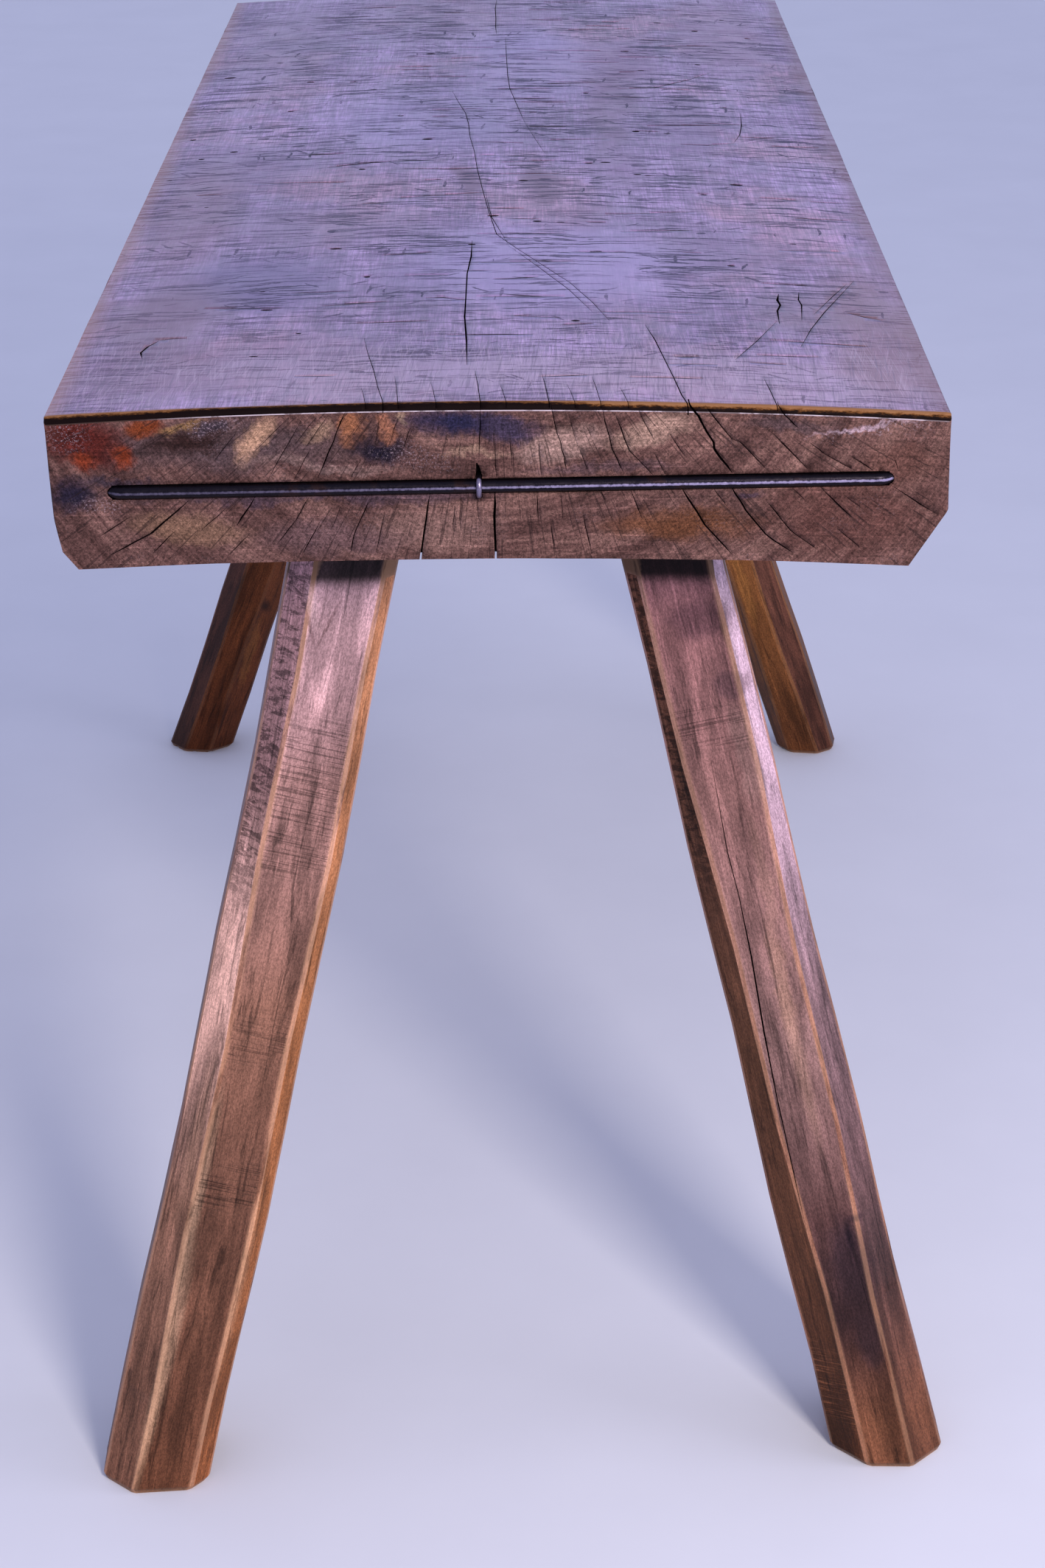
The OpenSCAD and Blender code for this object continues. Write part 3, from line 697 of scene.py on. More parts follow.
# Drying checks in the end grain: the width that each opens to, then its points, across from
# the middle of the width and down from the top, in mm. They fan out from the pith.
chance = random.Random(11)
front_checks = (
    (0.5, -152, 17, -168, 37), (0.5, -121, 8, -144, 31), (0.6, -113, 8, -137, 50),
    (0.5, -105, 8, -120, 27), (0.5, -99, 8, -114, 29), (0.5, -109, 27, -121, 48),
    (1.0, -89, 6, -96, 23, -106, 46), (0.5, -80, 34, -87, 47), (0.5, -69, 8, -72, 27),
    (0.4, -58, 9, -64, 27), (0.5, -50, 13, -56, 30), (0.8, -10, 2, -11, 36),
    (0.4, -22, 25, -23, 37), (0.6, -2, 23, -1, 46), (0.4, 7, 23, 8, 38), (0.5, 24, 22, 25, 45),
    (0.8, 31, 2, 35, 19, 39, 34, 40, 42), (0.5, 41, 6, 47, 27), (0.4, 51, 13, 56, 23),
    (0.5, 47, 27, 54, 44), (0.8, 61, 4, 67, 29, 74, 44), (0.8, 69, 9, 77, 30, 93, 47),
    (0.6, 82, 5, 92, 25), (0.5, 91, 30, 99, 46), (0.6, 100, 19, 110, 34),
    (1.7, 111, 1, 117, 9, 126, 25, 127, 30, 138, 44), (0.8, 121, 3, 137, 23, 142, 25, 158, 42),
    (1.0, 163, 3, 168, 9, 176, 17), (1.1, 160, 19, 182, 42), (0.6, 182, 25, 191, 32, 210, 43),
    (0.8, 207, 34, 221, 43), (0.5, 232, 34, 235, 43),
    (0.8, -217, 69, -237, 82), (1.4, -182, 59, -206, 80, -232, 94), (0.6, -161, 65, -177, 79),
    (0.7, -191, 78, -206, 93), (1.3, -143, 57, -155, 76), (0.7, -147, 80, -161, 94),
    (0.7, -111, 57, -120, 72, -132, 88), (0.9, -105, 72, -117, 94), (0.5, -93, 63, -99, 78),
    (0.9, -76, 59, -85, 80, -88, 92), (0.7, -67, 67, -73, 94), (1.4, -40, 55, -44, 80, -47, 101),
    (0.5, -26, 64, -27, 80), (0.5, -22, 55, -23, 78), (0.5, -12, 55, -12, 72),
    (1.9, -2, 54, -2, 78, -2, 101), (0.9, 23, 54, 24, 74), (0.7, 31, 72, 33, 95),
    (0.5, 37, 56, 38, 72), (0.8, 50, 67, 55, 94), (0.6, 60, 53, 64, 62), (0.7, 77, 52, 85, 72),
    (1.3, 107, 51, 122, 76, 139, 95), (0.4, 101, 52, 105, 59), (0.5, 126, 52, 135, 65),
    (1.4, 137, 52, 146, 67, 158, 82, 175, 94), (0.8, 158, 61, 173, 80, 191, 93),
    (0.5, 172, 52, 182, 62), (1.1, 189, 52, 209, 72), (0.5, 203, 57, 216, 67),
    (0.9, 230, 51, 259, 70), (0.6, 200, 78, 216, 92),
)
back_checks = (
    (0.6, -175, 56, -176, 40, -160, 24), (1.2, -140, 58, -168, 92), (0.5, -115, 58, -130, 84),
    (0.8, -54, 8, -71, 41), (0.5, -36, 6, -45, 34), (0.9, -19, 3, -26, 37), (1.5, -8, 56, -10, 103),
    (0.6, 11, 58, 13, 92), (0.7, 18, 14, 22, 41), (1.1, 53, 58, 67, 97), (0.5, 77, 60, 90, 88),
    (0.8, 67, 6, 90, 40), (0.5, 87, 10, 108, 36), (1.2, 170, 60, 222, 103), (0.6, 138, 10, 174, 40),
)
check_depth = 12 * mm
wander = 0.35
for end, inset, checks in ((-1, 0, front_checks), (1, 13 * mm, back_checks)):
    tool = cutter("check_blades")
    for width, *points in checks:
        marks = [Vector((slab_x + x * mm, slab_y + end * end_y - inset, top - z * mm))
            for x, z in zip(points[::2], points[1::2])]
        path = [marks[0]]
        for a, b in zip(marks, marks[1:]):
            for share in (0.33, 0.67, 1):
                off = chance.uniform(-wander, wander) * mm
                path.append(a.lerp(b, share) + Vector((off, 0, 0)))
        slope = math.dist(path[0], path[-1]) / abs(path[0].z - path[-1].z)
        widths = [width * slope * 0.85 * mm * chance.uniform(0.65, 1) for p in path]
        widths[0] *= 0.15
        widths[-1] *= 0.15 if points[-1] < 100 else 1
        blade(path, widths, "X", "Y", check_depth, over=4 * mm)
    cut(slab, tool)


def top_z(x):
    """Height of the crowned top at a distance from the middle of the width."""
    return top - crown * (2 * x / slab_w) ** 2


# Cracks and scars in the top: points in mm from the middle of the slab, the width that
# each opens to, its depth, and the axis of its width. Some cracks start in the front end.
front_y = -675
splits = [
    ([(-9, 640), (-10, 590), (-9, 540), (-9, 500), (-8, 462)], 0.9, 5, "X"),
    ([(0, 445), (1, 390), (2, 330), (3, 270), (5, 215), (12, 140), (18, 78)], 0.6, 4, "X"),
    ([(18, 78), (26, 20), (33, -30)], 0.4, 3, "X"),
    ([(-44, 210), (-38, 165), (-31, 120), (-28, 80), (-26, 30), (-22, -20), (-19, -80), (-14, -150),
        (-9, -215), (-3, -280), (12, -322), (30, -368), (46, -408), (60, -455), (70, -499)],
        0.6, 5, "X"),
    ([(-20, -296), (-20, -340), (-22, -385), (-22, -440), (-22, -490), (-20, -545), (-19, -597)],
        1.15, 6, "X"),
    ([(-84, -535), (-80, -570), (-75, -605), (-71, -640), (-67, -668), (-66, -690)], 0.55, 5, "X"),
    ([(92, -505), (97, -540), (101, -580), (105, -620), (108, -655), (111, -674), (111, -690)],
        0.85, 6, "X"),
]
for x, length, width in ((-77, 36, 0.5), (-58, 58, 0.6), (-36, 44, 0.5), (-10, 66, 0.8),
        (5, 40, 0.5), (30, 62, 0.8), (45, 38, 0.5), (60, 56, 0.6), (76, 34, 0.5), (163, 60, 0.9)):
    splits.append(([(x - 4, length + front_y), (x - 2, length * 0.6 + front_y),
        (x, front_y + 3), (x + 1, front_y - 15)], width * 0.7, 2.5, "X"))
scars = [
    ([(-134, -64), (-120, -58), (-100, -52), (-79, -48)], 2.4, 2.5, "Y"),
    ([(-220, -560), (-222, -548), (-219, -536), (-213, -524)], 1.6, 1.5, "X"),
    ([(-213, -523), (-205, -521), (-196, -522)], 1.4, 1.2, "Y"),
    ([(-49, -444), (-37, -443), (-22, -451)], 1.8, 1.5, "Y"),
    ([(183, -424), (181, -440), (182, -452), (179, -466), (178, -496)], 1.7, 2.5, "X"),
    ([(197, -417), (195, -437), (196, -450), (193, -487)], 1.2, 2.2, "X"),
    ([(187, -548), (197, -507), (209, -467), (237, -382)], 0.8, 1.6, "X"),
    ([(202, -472), (219, -424), (231, -392)], 0.9, 1.6, "X"),
    ([(177, -490), (160, -539), (152, -560), (144, -581)], 0.8, 1.4, "X"),
    ([(225, -466), (234, -473), (245, -479)], 1.4, 1.4, "Y"),
    ([(195, 135), (193, 90), (189, 52), (182, 20)], 0.9, 1.2, "X"),
    ([(186, 22), (161, 10), (140, 10)], 1.6, 1.0, "Y"),
    ([(96, 218), (128, 226), (158, 262), (180, 300)], 1.8, 1.3, "Y"),
    ([(-12, -158), (-7, -230), (5, -307)], 0.7, 1.5, "X"),
    ([(5, -311), (26, -370), (46, -428), (60, -480)], 0.7, 1.5, "X"),
]
for name, marks in (("crack_blades", splits), ("scar_blades", scars)):
    tool = cutter(name)
    for line, width, depth, across in marks:
        path = [(slab_x + x * mm, slab_y + y * mm, top_z(x * mm) - mm) for x, y in line]
        open_end = 0.8 if line[-1][1] < front_y else 0.15
        widths = [width * mm * w
            for w in [0.15] + [chance.uniform(0.7, 1) for _ in line[2:]] + [open_end]]
        blade(path, widths, across, "Z", depth * mm, over=6 * mm)
    cut(slab, tool)

# Pits: small and shallow, some where the photograph shows them and some strewn about
tool = cutter("pits")
pits = [(-211, 4), (-248, 55), (-253, -83), (-20, -307), (42, -245), (-176, 146), (-129, 257),
    (119, 298), (131, 49), (175, -121), (102, -96), (110, -99), (66, -60), (-60, 380), (-66, 372)]
for row in range(34):
    pits.append((chance.uniform(-240, 245), -560 + row * 34 + chance.uniform(-12, 12)))
for x, y in pits:
    wide = chance.uniform(1.5, 3.2) * mm
    bpy.ops.mesh.select_all(action="DESELECT")
    spot = Vector((slab_x + x * mm, slab_y + y * mm, top_z(x * mm) - 0.3 * mm))
    bpy.ops.mesh.primitive_ico_sphere_add(subdivisions=2, radius=wide, location=spot)
    bpy.ops.transform.resize(value=(chance.uniform(1, 1.8), chance.uniform(0.5, 0.9), 0.8),
        center_override=spot)
cut(slab, tool)

# Knife cuts in three rounds, so that those of one round don't meet. Most lie across the
# middle and the right, where the work was done.
knife_reach = 0.47 * slab_w
for turn, rows in ((1, 44), (-5, 30), (9, 22)):
    tool = cutter("knife_blades")
    for row in range(rows):
        y = (-0.46 + 0.94 * (row + chance.uniform(-0.25, 0.25)) / rows) * slab_l
        x = chance.gauss(0.12, 0.42) * slab_w / 2
        length = chance.uniform(12, 70) * mm
        slope = math.tan(math.radians(turn + chance.uniform(-2, 2)))
        room = knife_reach - length / 2
        x = max(min(x, room), -room)
        path = []
        for share in (-0.5, -0.15, 0.2, 0.5):
            at = x + share * length
            path.append((slab_x + at, slab_y + y + (at - x) * slope, top_z(at) - 0.9 * mm))
        width = chance.uniform(0.7, 1.8) * mm
        blade(path, [width * w for w in (0.1, 0.8, 1, 0.1)], "Y", "Z",
            chance.uniform(0.8, 1.6) * mm, over=6 * mm)
    cut(slab, tool)


def twin(part, name):
    """A new object with a copy of a CAD node's mesh, merged, as a start for a finer one."""
    made = bpy.data.objects.new(name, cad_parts[part].data.copy())
    made.data.materials.clear()
    bpy.context.scene.collection.objects.link(made)
    take_up(made)
    bpy.ops.object.mode_set(mode="EDIT")
    bpy.ops.mesh.select_all(action="SELECT")
    bpy.ops.mesh.remove_doubles(threshold=2e-6)
    bpy.ops.mesh.normals_make_consistent(inside=False)
    bpy.ops.object.mode_set(mode="OBJECT")
    return made


# The groove for each bar, a little wider than it, the notch where the staple was driven
# in, and the beds of the bar's bent ends and of the staple's legs
bar_d = 8.5 * mm
bar_tilt = math.radians(0.86)
tool = cutter("groove_cutter")
for part, end in (("end_bar_front", -1), ("end_bar_back", 1)):
    low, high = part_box(part)
    bpy.ops.mesh.primitive_cylinder_add(vertices=24, radius=bar_d / 2 + 0.25 * mm,
        depth=high.x - low.x - 12 * mm, rotation=(0, math.pi / 2 + end * bar_tilt, 0),
        location=((low.x + high.x) / 2, slab_y + end * (end_y - 1.2 * mm), (low.z + high.z) / 2))
cut(slab, tool)
tool = cutter("notch_blades")
for part, end, inset in (("bar_staple_front", -1, 0), ("bar_staple_back", 1, 5 * mm)):
    low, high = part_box(part)
    x, y = (low.x + high.x) / 2, slab_y + end * end_y - inset
    path = [(x + dx * mm, y, high.z + dz * mm)
        for dx, dz in ((-1.2, 6.5), (-0.4, 3), (0, -1), (0.3, -5))]
    blade(path, [0.8 * mm, 2.4 * mm, 3.6 * mm, 3.4 * mm], "X", "Y", 5 * mm, over=4 * mm)
cut(slab, tool)
for parts, room in ((("end_bar_front", "end_bar_back"), 0.35 * mm),
        (("bar_staple_front", "bar_staple_back"), 0.3 * mm)):
    beds = [twin(part, "iron_bed") for part in parts]
    for bed in beds:
        bed.select_set(True)
    bpy.ops.object.join()
    bed = bpy.context.object
    bed.data.materials.append(crack_dark)
    bpy.ops.object.mode_set(mode="EDIT")
    bpy.ops.mesh.select_all(action="SELECT")
    bpy.ops.transform.shrink_fatten(value=room)
    cut(slab, bed)

take_up(slab)
bpy.ops.object.shade_smooth_by_angle(angle=math.radians(32))

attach(slab, "root")
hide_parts("slab_top")


# The legs: hewn with axe and drawknife to uneven octagons, each with its own splay, rake
# and twist, oiled, and wedged blind into the slab by a round tenon. Their arrises are pale,
# partly from wear and partly a painted highlight. The facets are numbered from the front
# one, anticlockwise from above.
entry_inset = 180 * mm
tenon_d = 48 * mm
tenon_l = 60 * mm
tenon_room = 0.3 * mm
mortise_from = -22 * mm
mortise_to = tenon_l + 2 * mm
bark_facet = 7
bark_low = 360 * mm
bark_full = 460 * mm
# Heights where a painted shadow of the slab fades in on the front legs
painted_shadow_low = 609 * mm
painted_shadow_full = 619 * mm


def leg_finish(name, entry, axis, seed, arris_wear_and_highlight_share, plain, facets, scored, spots):
    """Oiled wood that runs along one leg. plain is its colour from the floor up, and facets
    holds those that differ; both grow lighter towards the top, partly as painted light, and
    the pink and lavender tops of some front facets are painted sheen. Pale and dark streaks
    follow the grain, bark is left high on one facet, and a painted shadow of the slab darkens
    the top of the front legs' front facet. scored holds the bands of fine scores across it:
    from and to what height, on which facet, how light. Spots are (x, height, half width, half
    height, turn, colour, share) in mm. The arrises are made pale, partly as wear and partly
    as a painted highlight, to the share given for the leg."""
    made, shader, whole = material(name, 0.42, Specular_IOR_Level=0.1)
    height = axes(whole)[2]
    share = sums("DIVIDE", height, under)
    place = node("Mapping", {"Vector": whole, "Location": entry,
        "Rotation": axis.to_track_quat("Z", "Y").to_euler()}, vector_type="TEXTURE").outputs[0]
    facet = node("Attribute", {}, tree=made.node_tree, attribute_name="facet").outputs["Fac"]
    worn = node("Attribute", {}, tree=made.node_tree, attribute_name="worn").outputs["Fac"]

    def on(number):
        """1 on one facet and 0 elsewhere."""
        return sums("COMPARE", facet, number, 0.5)

    tone = ramp(share, plain)
    for number, stops in facets:
        tone = blend(on(number), tone, ramp(share, stops))
    ragged = warped(warped(from_slab(whole), 70, 0.012), 300, 0.004)
    frayed = warped(from_slab(whole), 300, 0.003)
    for x, z, wide, high, turn, colour, much in spots:
        edges, soft = (ragged, 0.25) if wide > 5 else (frayed, 0.6)
        mask = patch(edges, (x, 0, z - top / mm), (wide, 900, high), soft, turn)
        tone = blend(times(mask, much), tone, colour)
    broad = noise(place, 42, detail=7, rough=0.65, warp=0.4, stretch=(1, 1, 6), seed=seed)
    tone = shade(tone, step(broad, 0.38, 0.62, 0.6, 1.35))
    dark = noise(place, 200, detail=6, rough=0.7, warp=0.8, stretch=(1, 1, 14), seed=seed + 2)
    tone = shade(tone, step(dark, 0.52, 0.64, 1, 0.45))
    pale = noise(place, 190, detail=5, rough=0.65, warp=0.5, stretch=(1, 1, 28), seed=seed + 1)
    pale = plus(pale, times(on(bark_facet), 0.05))
    tone = blend(step(pale, 0.56, 0.68, 0, 0.35), tone, shade(tone, 2.2))
    fibre = noise(place, 1100, detail=4, rough=0.75, stretch=(1, 1, 22), seed=seed + 4)
    tone = shade(tone, step(fibre, 0.38, 0.62, 1.1, 0.86))
    pores = noise(place, 1000, detail=4, rough=0.8, stretch=(1, 1, 2), seed=seed + 5)
    tone = shade(tone, step(pores, 0.4, 0.6, 0.74, 1.3))
    bark = noise(place, 180, detail=6, rough=0.8, warp=0.5, stretch=(3, 3, 1), seed=seed + 9)
    bark = times(step(bark, 0.46, 0.56), on(bark_facet))
    bark = times(bark, step(height, bark_low, bark_full, 0, 0.85))
    tone = blend(bark, tone, shade(tone, 0.2))
    # A painted shadow of the slab over the top of the front legs' front facet
    if axis.y > 0:
        painted_shadow = times(step(height, painted_shadow_low, painted_shadow_full), sums("LESS_THAN", facet, 0.5))
        tone = blend(painted_shadow, tone, shade(tone, 0.06))
    slope = node("Mapping", {"Vector": place, "Rotation": (0, math.radians(3), 0)}).outputs[0]
    score = noise(slope, 1000, detail=3, rough=0.6, stretch=(50, 50, 1), seed=seed + 6)
    score = step(score, 0.5, 0.62)
    scores = None
    fade = 10 * mm
    for low, high, number, light in scored:
        zone = times(step(height, low - fade, low + fade), step(height, high + fade, high - fade))
        zone = times(times(zone, on(number)), score)
        tone = blend(times(zone, 0.9), tone, shade(tone, light))
        scores = most(scores, zone) if scores else zone
    rub = noise(place, 90, detail=6, rough=0.65, stretch=(1, 1, 9), seed=seed + 8)
    rub = step(rub, 0.36, 0.5)
    # Arrises made pale: bare wood from wear, and a painted highlight
    bare_wood_and_highlight = blend(0.5, shade(tone, 2.2), (0.50, 0.28, 0.16))
    strip = times(on(-1), arris_wear_and_highlight_share)
    strip = most(strip, times(step(worn, 0.6, 1), arris_wear_and_highlight_share * 0.6))
    tone = blend(times(strip, rub), tone, bare_wood_and_highlight)
    foot = step(plus(height, times(pores, 0.008)), 0.009, 0.003)
    tone = blend(times(foot, 0.6), tone, (0.40, 0.23, 0.13))
    feed(shader, "Base Color", tone)
    feed(shader, "Roughness", step(broad, 0.3, 0.75, 0.36, 0.52))
    bumps = times(fibre, -0.5)
    if scores:
        bumps = less(bumps, scores)
    relief(shader, bumps, 0.22 * mm)
    return made


# Each leg: its node, entry and side in mm, end of the slab, splay, rake and turn in
# degrees, seed, how far its arrises are made pale by wear and painted highlight, colours,
# scores and spots
# The colours grow lighter towards the top of each leg, partly as painted light, and the pink tops
# of the front left leg's front facets and the lavender top of the front right leg's right facet are
# painted sheen.
legs = (
    ("leg_front_left", -90.5, -1, 12.7, 12.3, 4, 1, 0.85,
        ((0, (0.13, 0.050, 0.026)), (0.45, (0.19, 0.084, 0.050)), (1, (0.26, 0.14, 0.12))),
        ((0, ((0, (0.105, 0.038, 0.018)), (0.5, (0.190, 0.088, 0.058)),
            (0.72, (0.31, 0.165, 0.145)), (0.88, (0.56, 0.345, 0.37)))),
        (1, ((0, (0.19, 0.062, 0.022)), (0.5, (0.29, 0.110, 0.042)), (1, (0.42, 0.19, 0.10)))),
        (7, ((0, (0.13, 0.055, 0.031)), (0.3, (0.21, 0.10, 0.062)), (0.55, (0.68, 0.39, 0.30)),
            (0.72, (0.30, 0.16, 0.15)), (1, (0.42, 0.24, 0.27))))),
        ((0.425, 0.525, 0, 0.45), (0.2, 0.228, 0, 0.35), (0.3, 0.33, 0, 0.6)),
        ((-121, 600, 4, 15, -5, (0.52, 0.34, 0.35), 0.8),
        (-111, 588, 1.1, 18, 28, (0.13, 0.06, 0.065), 0.7),
        (-123, 588, 1.1, 14, -12, (0.13, 0.06, 0.065), 0.7),
        (-205, 250, 5, 60, 14, (0.34, 0.18, 0.11), 0.6),
        (-210, 190, 4, 80, 14, (0.44, 0.27, 0.17), 0.8),
        (-226, 110, 5, 70, 14, (0.40, 0.24, 0.15), 0.7),
        (-240, 60, 4, 60, 14, (0.36, 0.21, 0.12), 0.7),
        (-178, 150, 3, 70, 14, (0.34, 0.17, 0.09), 0.7))),
    ("leg_front_right", 98, -1, 13.9, 10.1, 0, 2, 0.45,
        ((0, (0.15, 0.055, 0.028)), (0.45, (0.20, 0.088, 0.058)), (1, (0.26, 0.14, 0.13))),
        ((0, ((0.05, (0.12, 0.045, 0.022)), (0.16, (0.04, 0.018, 0.018)),
            (0.27, (0.075, 0.034, 0.030)), (0.45, (0.205, 0.112, 0.100)),
            (0.7, (0.24, 0.118, 0.105)), (0.9, (0.20, 0.090, 0.095)))),
        (1, ((0.05, (0.13, 0.048, 0.024)), (0.2, (0.08, 0.036, 0.030)), (0.5, (0.18, 0.105, 0.11)),
            (0.75, (0.40, 0.27, 0.32)), (1, (0.60, 0.43, 0.53)))),
        (7, ((0, (0.055, 0.018, 0.007)), (0.45, (0.085, 0.035, 0.018)), (1, (0.11, 0.045, 0.03))))),
        ((0.03, 0.08, 7, 3.2), (0.505, 0.53, 0, 0.5)),
        ((236, 150, 18, 42, -14, (0.040, 0.020, 0.024), 0.85),
        (250, 95, 13, 28, -14, (0.05, 0.024, 0.026), 0.8),
        (234, 170, 3, 14, -10, (0.008, 0.004, 0.008), 0.95),
        (238, 183, 5, 3, 0, (0.015, 0.008, 0.014), 0.9),
        (128, 588, 26, 16, 0, (0.085, 0.038, 0.045), 0.8),
        (150, 545, 16, 10, 0, (0.10, 0.05, 0.06), 0.6),
        (160, 500, 10, 40, -14, (0.29, 0.17, 0.15), 0.5),
        (185, 350, 7, 50, -14, (0.26, 0.14, 0.10), 0.6),
        (196, 300, 5, 60, -14, (0.30, 0.17, 0.12), 0.6),
        (172, 420, 6, 50, -14, (0.28, 0.15, 0.12), 0.5))),
    ("leg_back_left", -91, 1, 19.5, 9.8, 40, 3, 0.12,
        ((0, (0.075, 0.020, 0.006)), (0.3, (0.10, 0.028, 0.008)), (1, (0.13, 0.044, 0.012))),
        ((6, ((0, (0.05, 0.018, 0.010)), (1, (0.07, 0.026, 0.018)))),),
        (),
        ((-251, 176, 5, 8, 0, (0.012, 0.005, 0.003), 0.9),
        (-270, 120, 6, 50, 18, (0.17, 0.06, 0.015), 0.6))),
    ("leg_back_right", 88, 1, 18.6, 8.6, 36, 4, 0.2,
        ((0, (0.09, 0.030, 0.010)), (0.3, (0.13, 0.048, 0.014)), (1, (0.17, 0.066, 0.02))),
        ((0, ((0, (0.075, 0.026, 0.014)), (1, (0.10, 0.04, 0.026)))),),
        (),
        ((240, 200, 6, 60, -18, (0.20, 0.08, 0.02), 0.6),)),
)
for part, x, end, splay, rake, turn, seed, arris_wear_and_highlight_share, plain, facets, scored, spots in legs:
    x *= mm
    side = 1 if x > 0 else -1
    entry = Vector((slab_x + x, slab_y + end * (end_y - entry_inset),
        under - hollow * (2 * x / slab_w) ** 2))
    axis = Vector((-side * math.tan(math.radians(splay)), -end * math.tan(math.radians(rake)), 1))
    axis.normalize()
    tool = cutter("mortise_cutter")
    bpy.ops.mesh.primitive_cylinder_add(vertices=48, radius=tenon_d / 2 + tenon_room,
        depth=mortise_to - mortise_from, rotation=axis.to_track_quat("Z", "Y").to_euler(),
        location=entry + axis * (mortise_to + mortise_from) / 2)
    cut(slab, tool)

    # The hewn form, with its flat triangle pairs made one face each
    leg = twin(part, part.replace("leg_", "") + "_leg")
    bpy.ops.object.mode_set(mode="EDIT")
    pick("EDGE", lambda e: run(e).z > 1e-4 and len(e.link_faces) == 2
        and e.calc_face_angle() < math.radians(9)
        and all(v.co.z < entry.z - 1 * mm for v in e.verts))
    bpy.ops.mesh.dissolve_edges(use_verts=False)

    # Facets are numbered by where they face. Arris strips are narrow and take -1
    shape = bmesh.from_edit_mesh(leg.data)
    number = shape.faces.layers.float.new("facet")
    for face in shape.faces:
        tall = max(v.co.z for v in face.verts) - min(v.co.z for v in face.verts)
        toward = math.degrees(math.atan2(face.normal.y, face.normal.x))
        wide = face.calc_area() > 5 * mm * tall
        face[number] = round((toward + 90 - turn) / 45) % 8 if wide else -1
    pick("EDGE", lambda e: run(e).z > 30 * mm and min(v.co.z for v in e.verts) < entry.z - 5 * mm)
    bpy.ops.mesh.subdivide(number_cuts=17)
    pick("EDGE", lambda e: run(e).z < 2e-5 and e.calc_length() > 5 * mm
        and e.verts[0].co.z < entry.z - 1 * mm)
    bpy.ops.mesh.subdivide(number_cuts=7)
    shape = bmesh.from_edit_mesh(leg.data)
    # Arris vertices are marked for the pale arris lines, which are wear and a painted highlight
    worn = shape.verts.layers.float.new("worn")
    for vert in shape.verts:
        if any(run(e).z > mm and e.calc_face_angle(0) > math.radians(12) for e in vert.link_edges):
            vert[worn] = 1
    pick("VERT", lambda v: mm < v.co.z < entry.z - 4 * mm)
    bpy.ops.object.vertex_group_assign_new()
    bpy.ops.object.mode_set(mode="OBJECT")

    # Hewing leaves shallow hollows along the grain, and use adds small dents
    grain_line = bpy.data.objects.new("grain", None)
    grain_line.matrix_world = (Matrix.Translation(entry + Vector((seed, 0, 0)))
        @ axis.to_track_quat("Z", "Y").to_matrix().to_4x4() @ Matrix.Diagonal((1, 1, 5, 1)))
    bpy.context.scene.collection.objects.link(grain_line)
    press_in(leg, "hewn", 0.05, 1.1 * mm, grain_line)
    press_in(leg, "dents", 0.012, 0.3 * mm, grain_line)
    bpy.data.objects.remove(grain_line)
    leg.vertex_groups.clear()
    leg.data.materials.append(
        leg_finish(part + "_wood", entry, axis, seed * 10, arris_wear_and_highlight_share, plain, facets, scored, spots))

    # Chips knocked off the rim of the foot, and the long crack of the front right leg
    tool = cutter("chips", leg.data.materials[0])
    rim = [v.co for v in leg.data.vertices if v.co.z < 1e-5]
    for chip in range(7):
        spot = rim[chance.randrange(len(rim))].copy()
        middle = sum(rim, Vector()) / len(rim)
        wide = chance.uniform(2.5, 5) * mm
        spot += (spot - middle).normalized() * wide * 0.45
        bpy.ops.mesh.select_all(action="DESELECT")
        bpy.ops.mesh.primitive_ico_sphere_add(subdivisions=2, radius=wide, location=spot)
        bpy.ops.transform.resize(value=(1, 1, chance.uniform(0.5, 1.2)), center_override=spot)
    cut(leg, tool)
    if part == "leg_front_right":
        tool = cutter("leg_crack")
        path = [Vector((slab_x + px * mm, slab_y + py * mm, pz * mm)) for px, py, pz in (
            (136, -565, 500), (148, -574, 436), (156, -579, 406), (165, -586, 364),
            (174, -595, 313), (183, -603, 269), (194, -613, 221), (205, -621, 173))]
        widths = [w * mm for w in (0.1, 0.7, 0.6, 1.0, 1.1, 0.8, 0.7, 0.1)]
        blade(path, widths, "X", "Y", 6 * mm, over=5 * mm)
        cut(leg, tool)
    take_up(leg)
    bpy.ops.object.shade_smooth_by_angle(angle=math.radians(16))
    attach(leg, "root")
    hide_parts(part)
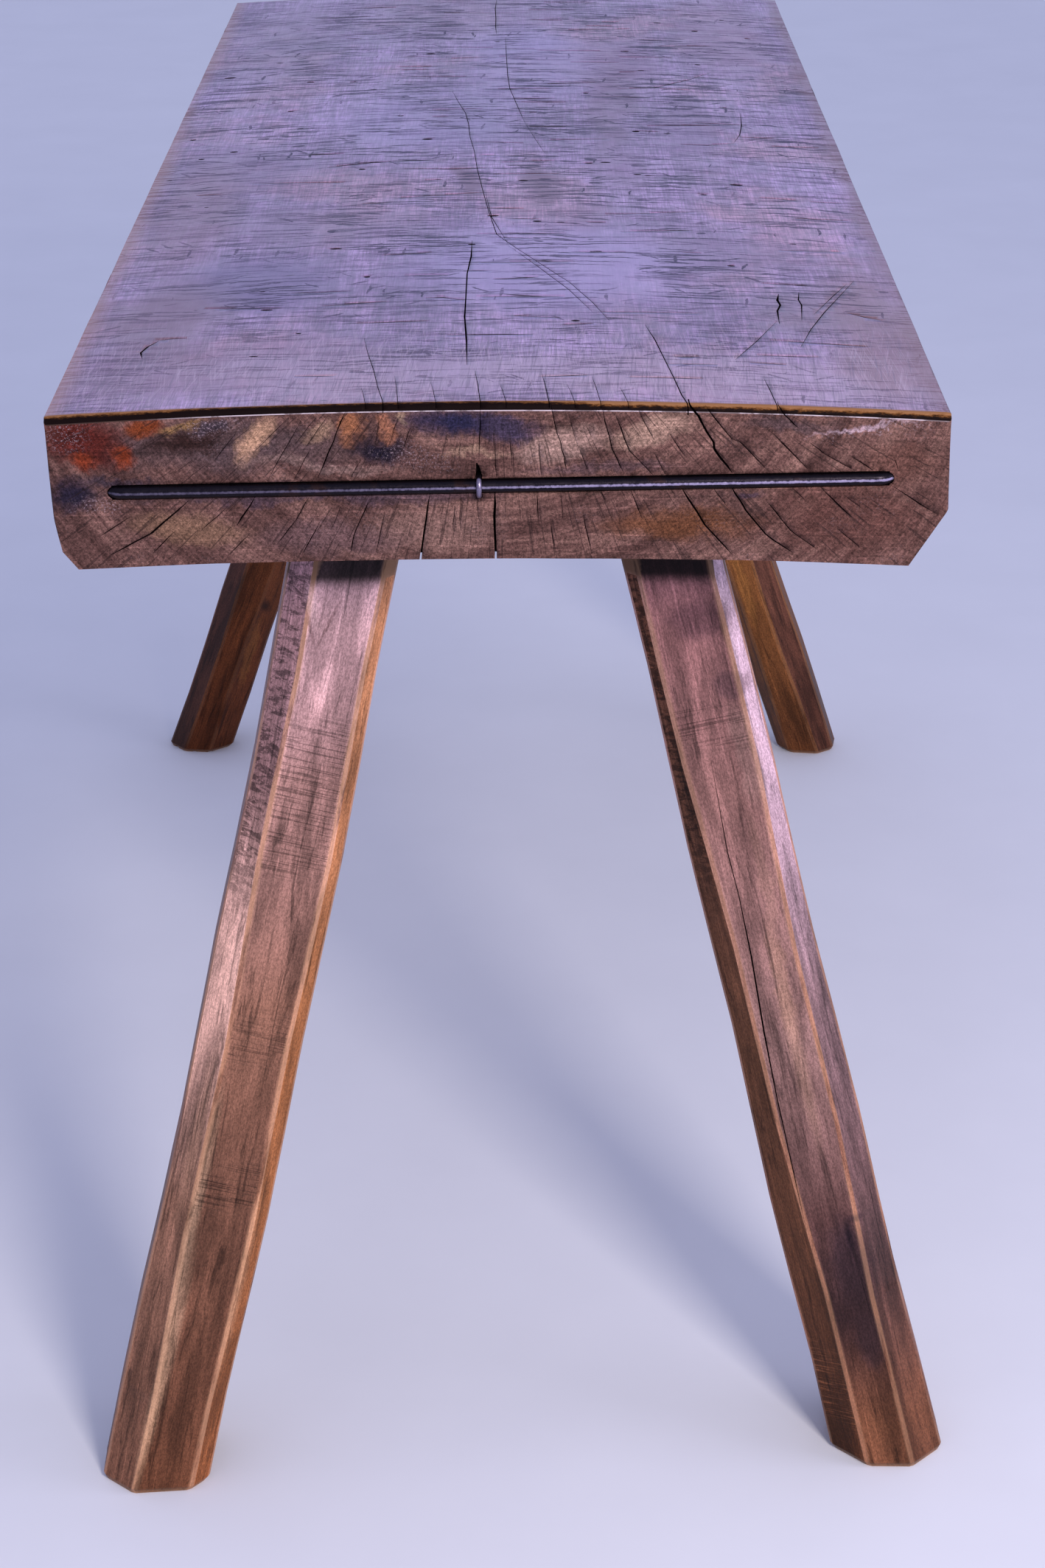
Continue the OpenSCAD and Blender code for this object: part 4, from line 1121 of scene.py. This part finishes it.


# The irons: a bar sunk along each end to hold the slab together, forged round, with its
# ends bent into the wood and a staple near its middle. They are black, with a painted
# glint: a pale line along the middle of each bar, brightest on the right, and a pale patch
# on the staple where it stands out furthest.
iron, shader, place = material("forged_iron", 0.36, Metallic=0.85)
x, y, z = axes(from_slab(place))
scale_marks = noise(place, 420, detail=5, rough=0.7, seed=71)
rust = noise(place, 60, detail=4, seed=72)
tone = blend(step(rust, 0.56, 0.72, 0, 0.7), (0.007, 0.005, 0.009), (0.022, 0.009, 0.008))
# A painted glint: a pale band along the middle of each bar, weaker to the left, and a paler patch
# on the staple where it stands out furthest
low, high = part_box("end_bar_front")
climb = times(times(sums("SIGN", y), x), bar_tilt)
off_line = sums("ABSOLUTE", plus(plus(z, top - (low.z + high.z) / 2), climb))
painted_glint = plus(step(off_line, 1.7 * mm, 0.2 * mm), times(scale_marks, 1.2))
painted_glint = times(step(painted_glint, 1.1, 1.75), step(x, -0.15, 0.15, 0.3, 1.3))
proud = less(sums("ABSOLUTE", y), end_y)
painted_glint = most(painted_glint, step(proud, 3.2 * mm, 4 * mm, 0, 0.5))
tone = blend(painted_glint, tone, (0.36, 0.31, 0.46))
feed(shader, "Base Color", tone)
feed(shader, "Roughness", step(scale_marks, 0.35, 0.65, 0.26, 0.46))
relief(shader, scale_marks, 0.12 * mm)
for part, voxel, depth in (("end_bar_front", 0.6, 0.3), ("end_bar_back", 0.6, 0.3),
        ("bar_staple_front", 0.35, 0.1), ("bar_staple_back", 0.35, 0.1)):
    forged = twin(part, part.replace("end_bar", "forged_bar").replace("bar_staple", "staple"))
    mesh_grid = forged.modifiers.new("grid", "REMESH")
    mesh_grid.mode = "VOXEL"
    mesh_grid.voxel_size = voxel * mm
    bpy.ops.object.modifier_apply(modifier="grid")
    even = forged.modifiers.new("even", "SMOOTH")
    even.iterations = 6
    bpy.ops.object.modifier_apply(modifier="even")
    press_in(forged, "hammered", 0.02, depth * mm)
    bpy.ops.object.shade_smooth()
    forged.data.materials.append(iron)
    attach(forged, "root")
    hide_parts(part)


# The fox wedges: raw split hardwood, one in the kerf of each tenon, which it spread when
# the leg was driven home. They are out of sight, so they keep the CAD's own form.
wedge_wood, shader, place = material("wedge_wood", 0.7)
split = noise(place, 300, detail=4, rough=0.7, stretch=(1, 1, 12), seed=81)
feed(shader, "Base Color", blend(step(split, 0.3, 0.7), (0.30, 0.18, 0.10), (0.58, 0.42, 0.27)))
relief(shader, split, 0.3 * mm)
for part in ("front_left", "front_right", "back_left", "back_right"):
    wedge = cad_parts["fox_wedge_" + part]
    wedge.data.materials.clear()
    wedge.data.materials.append(wedge_wood)

bpy.context.view_layer.update()
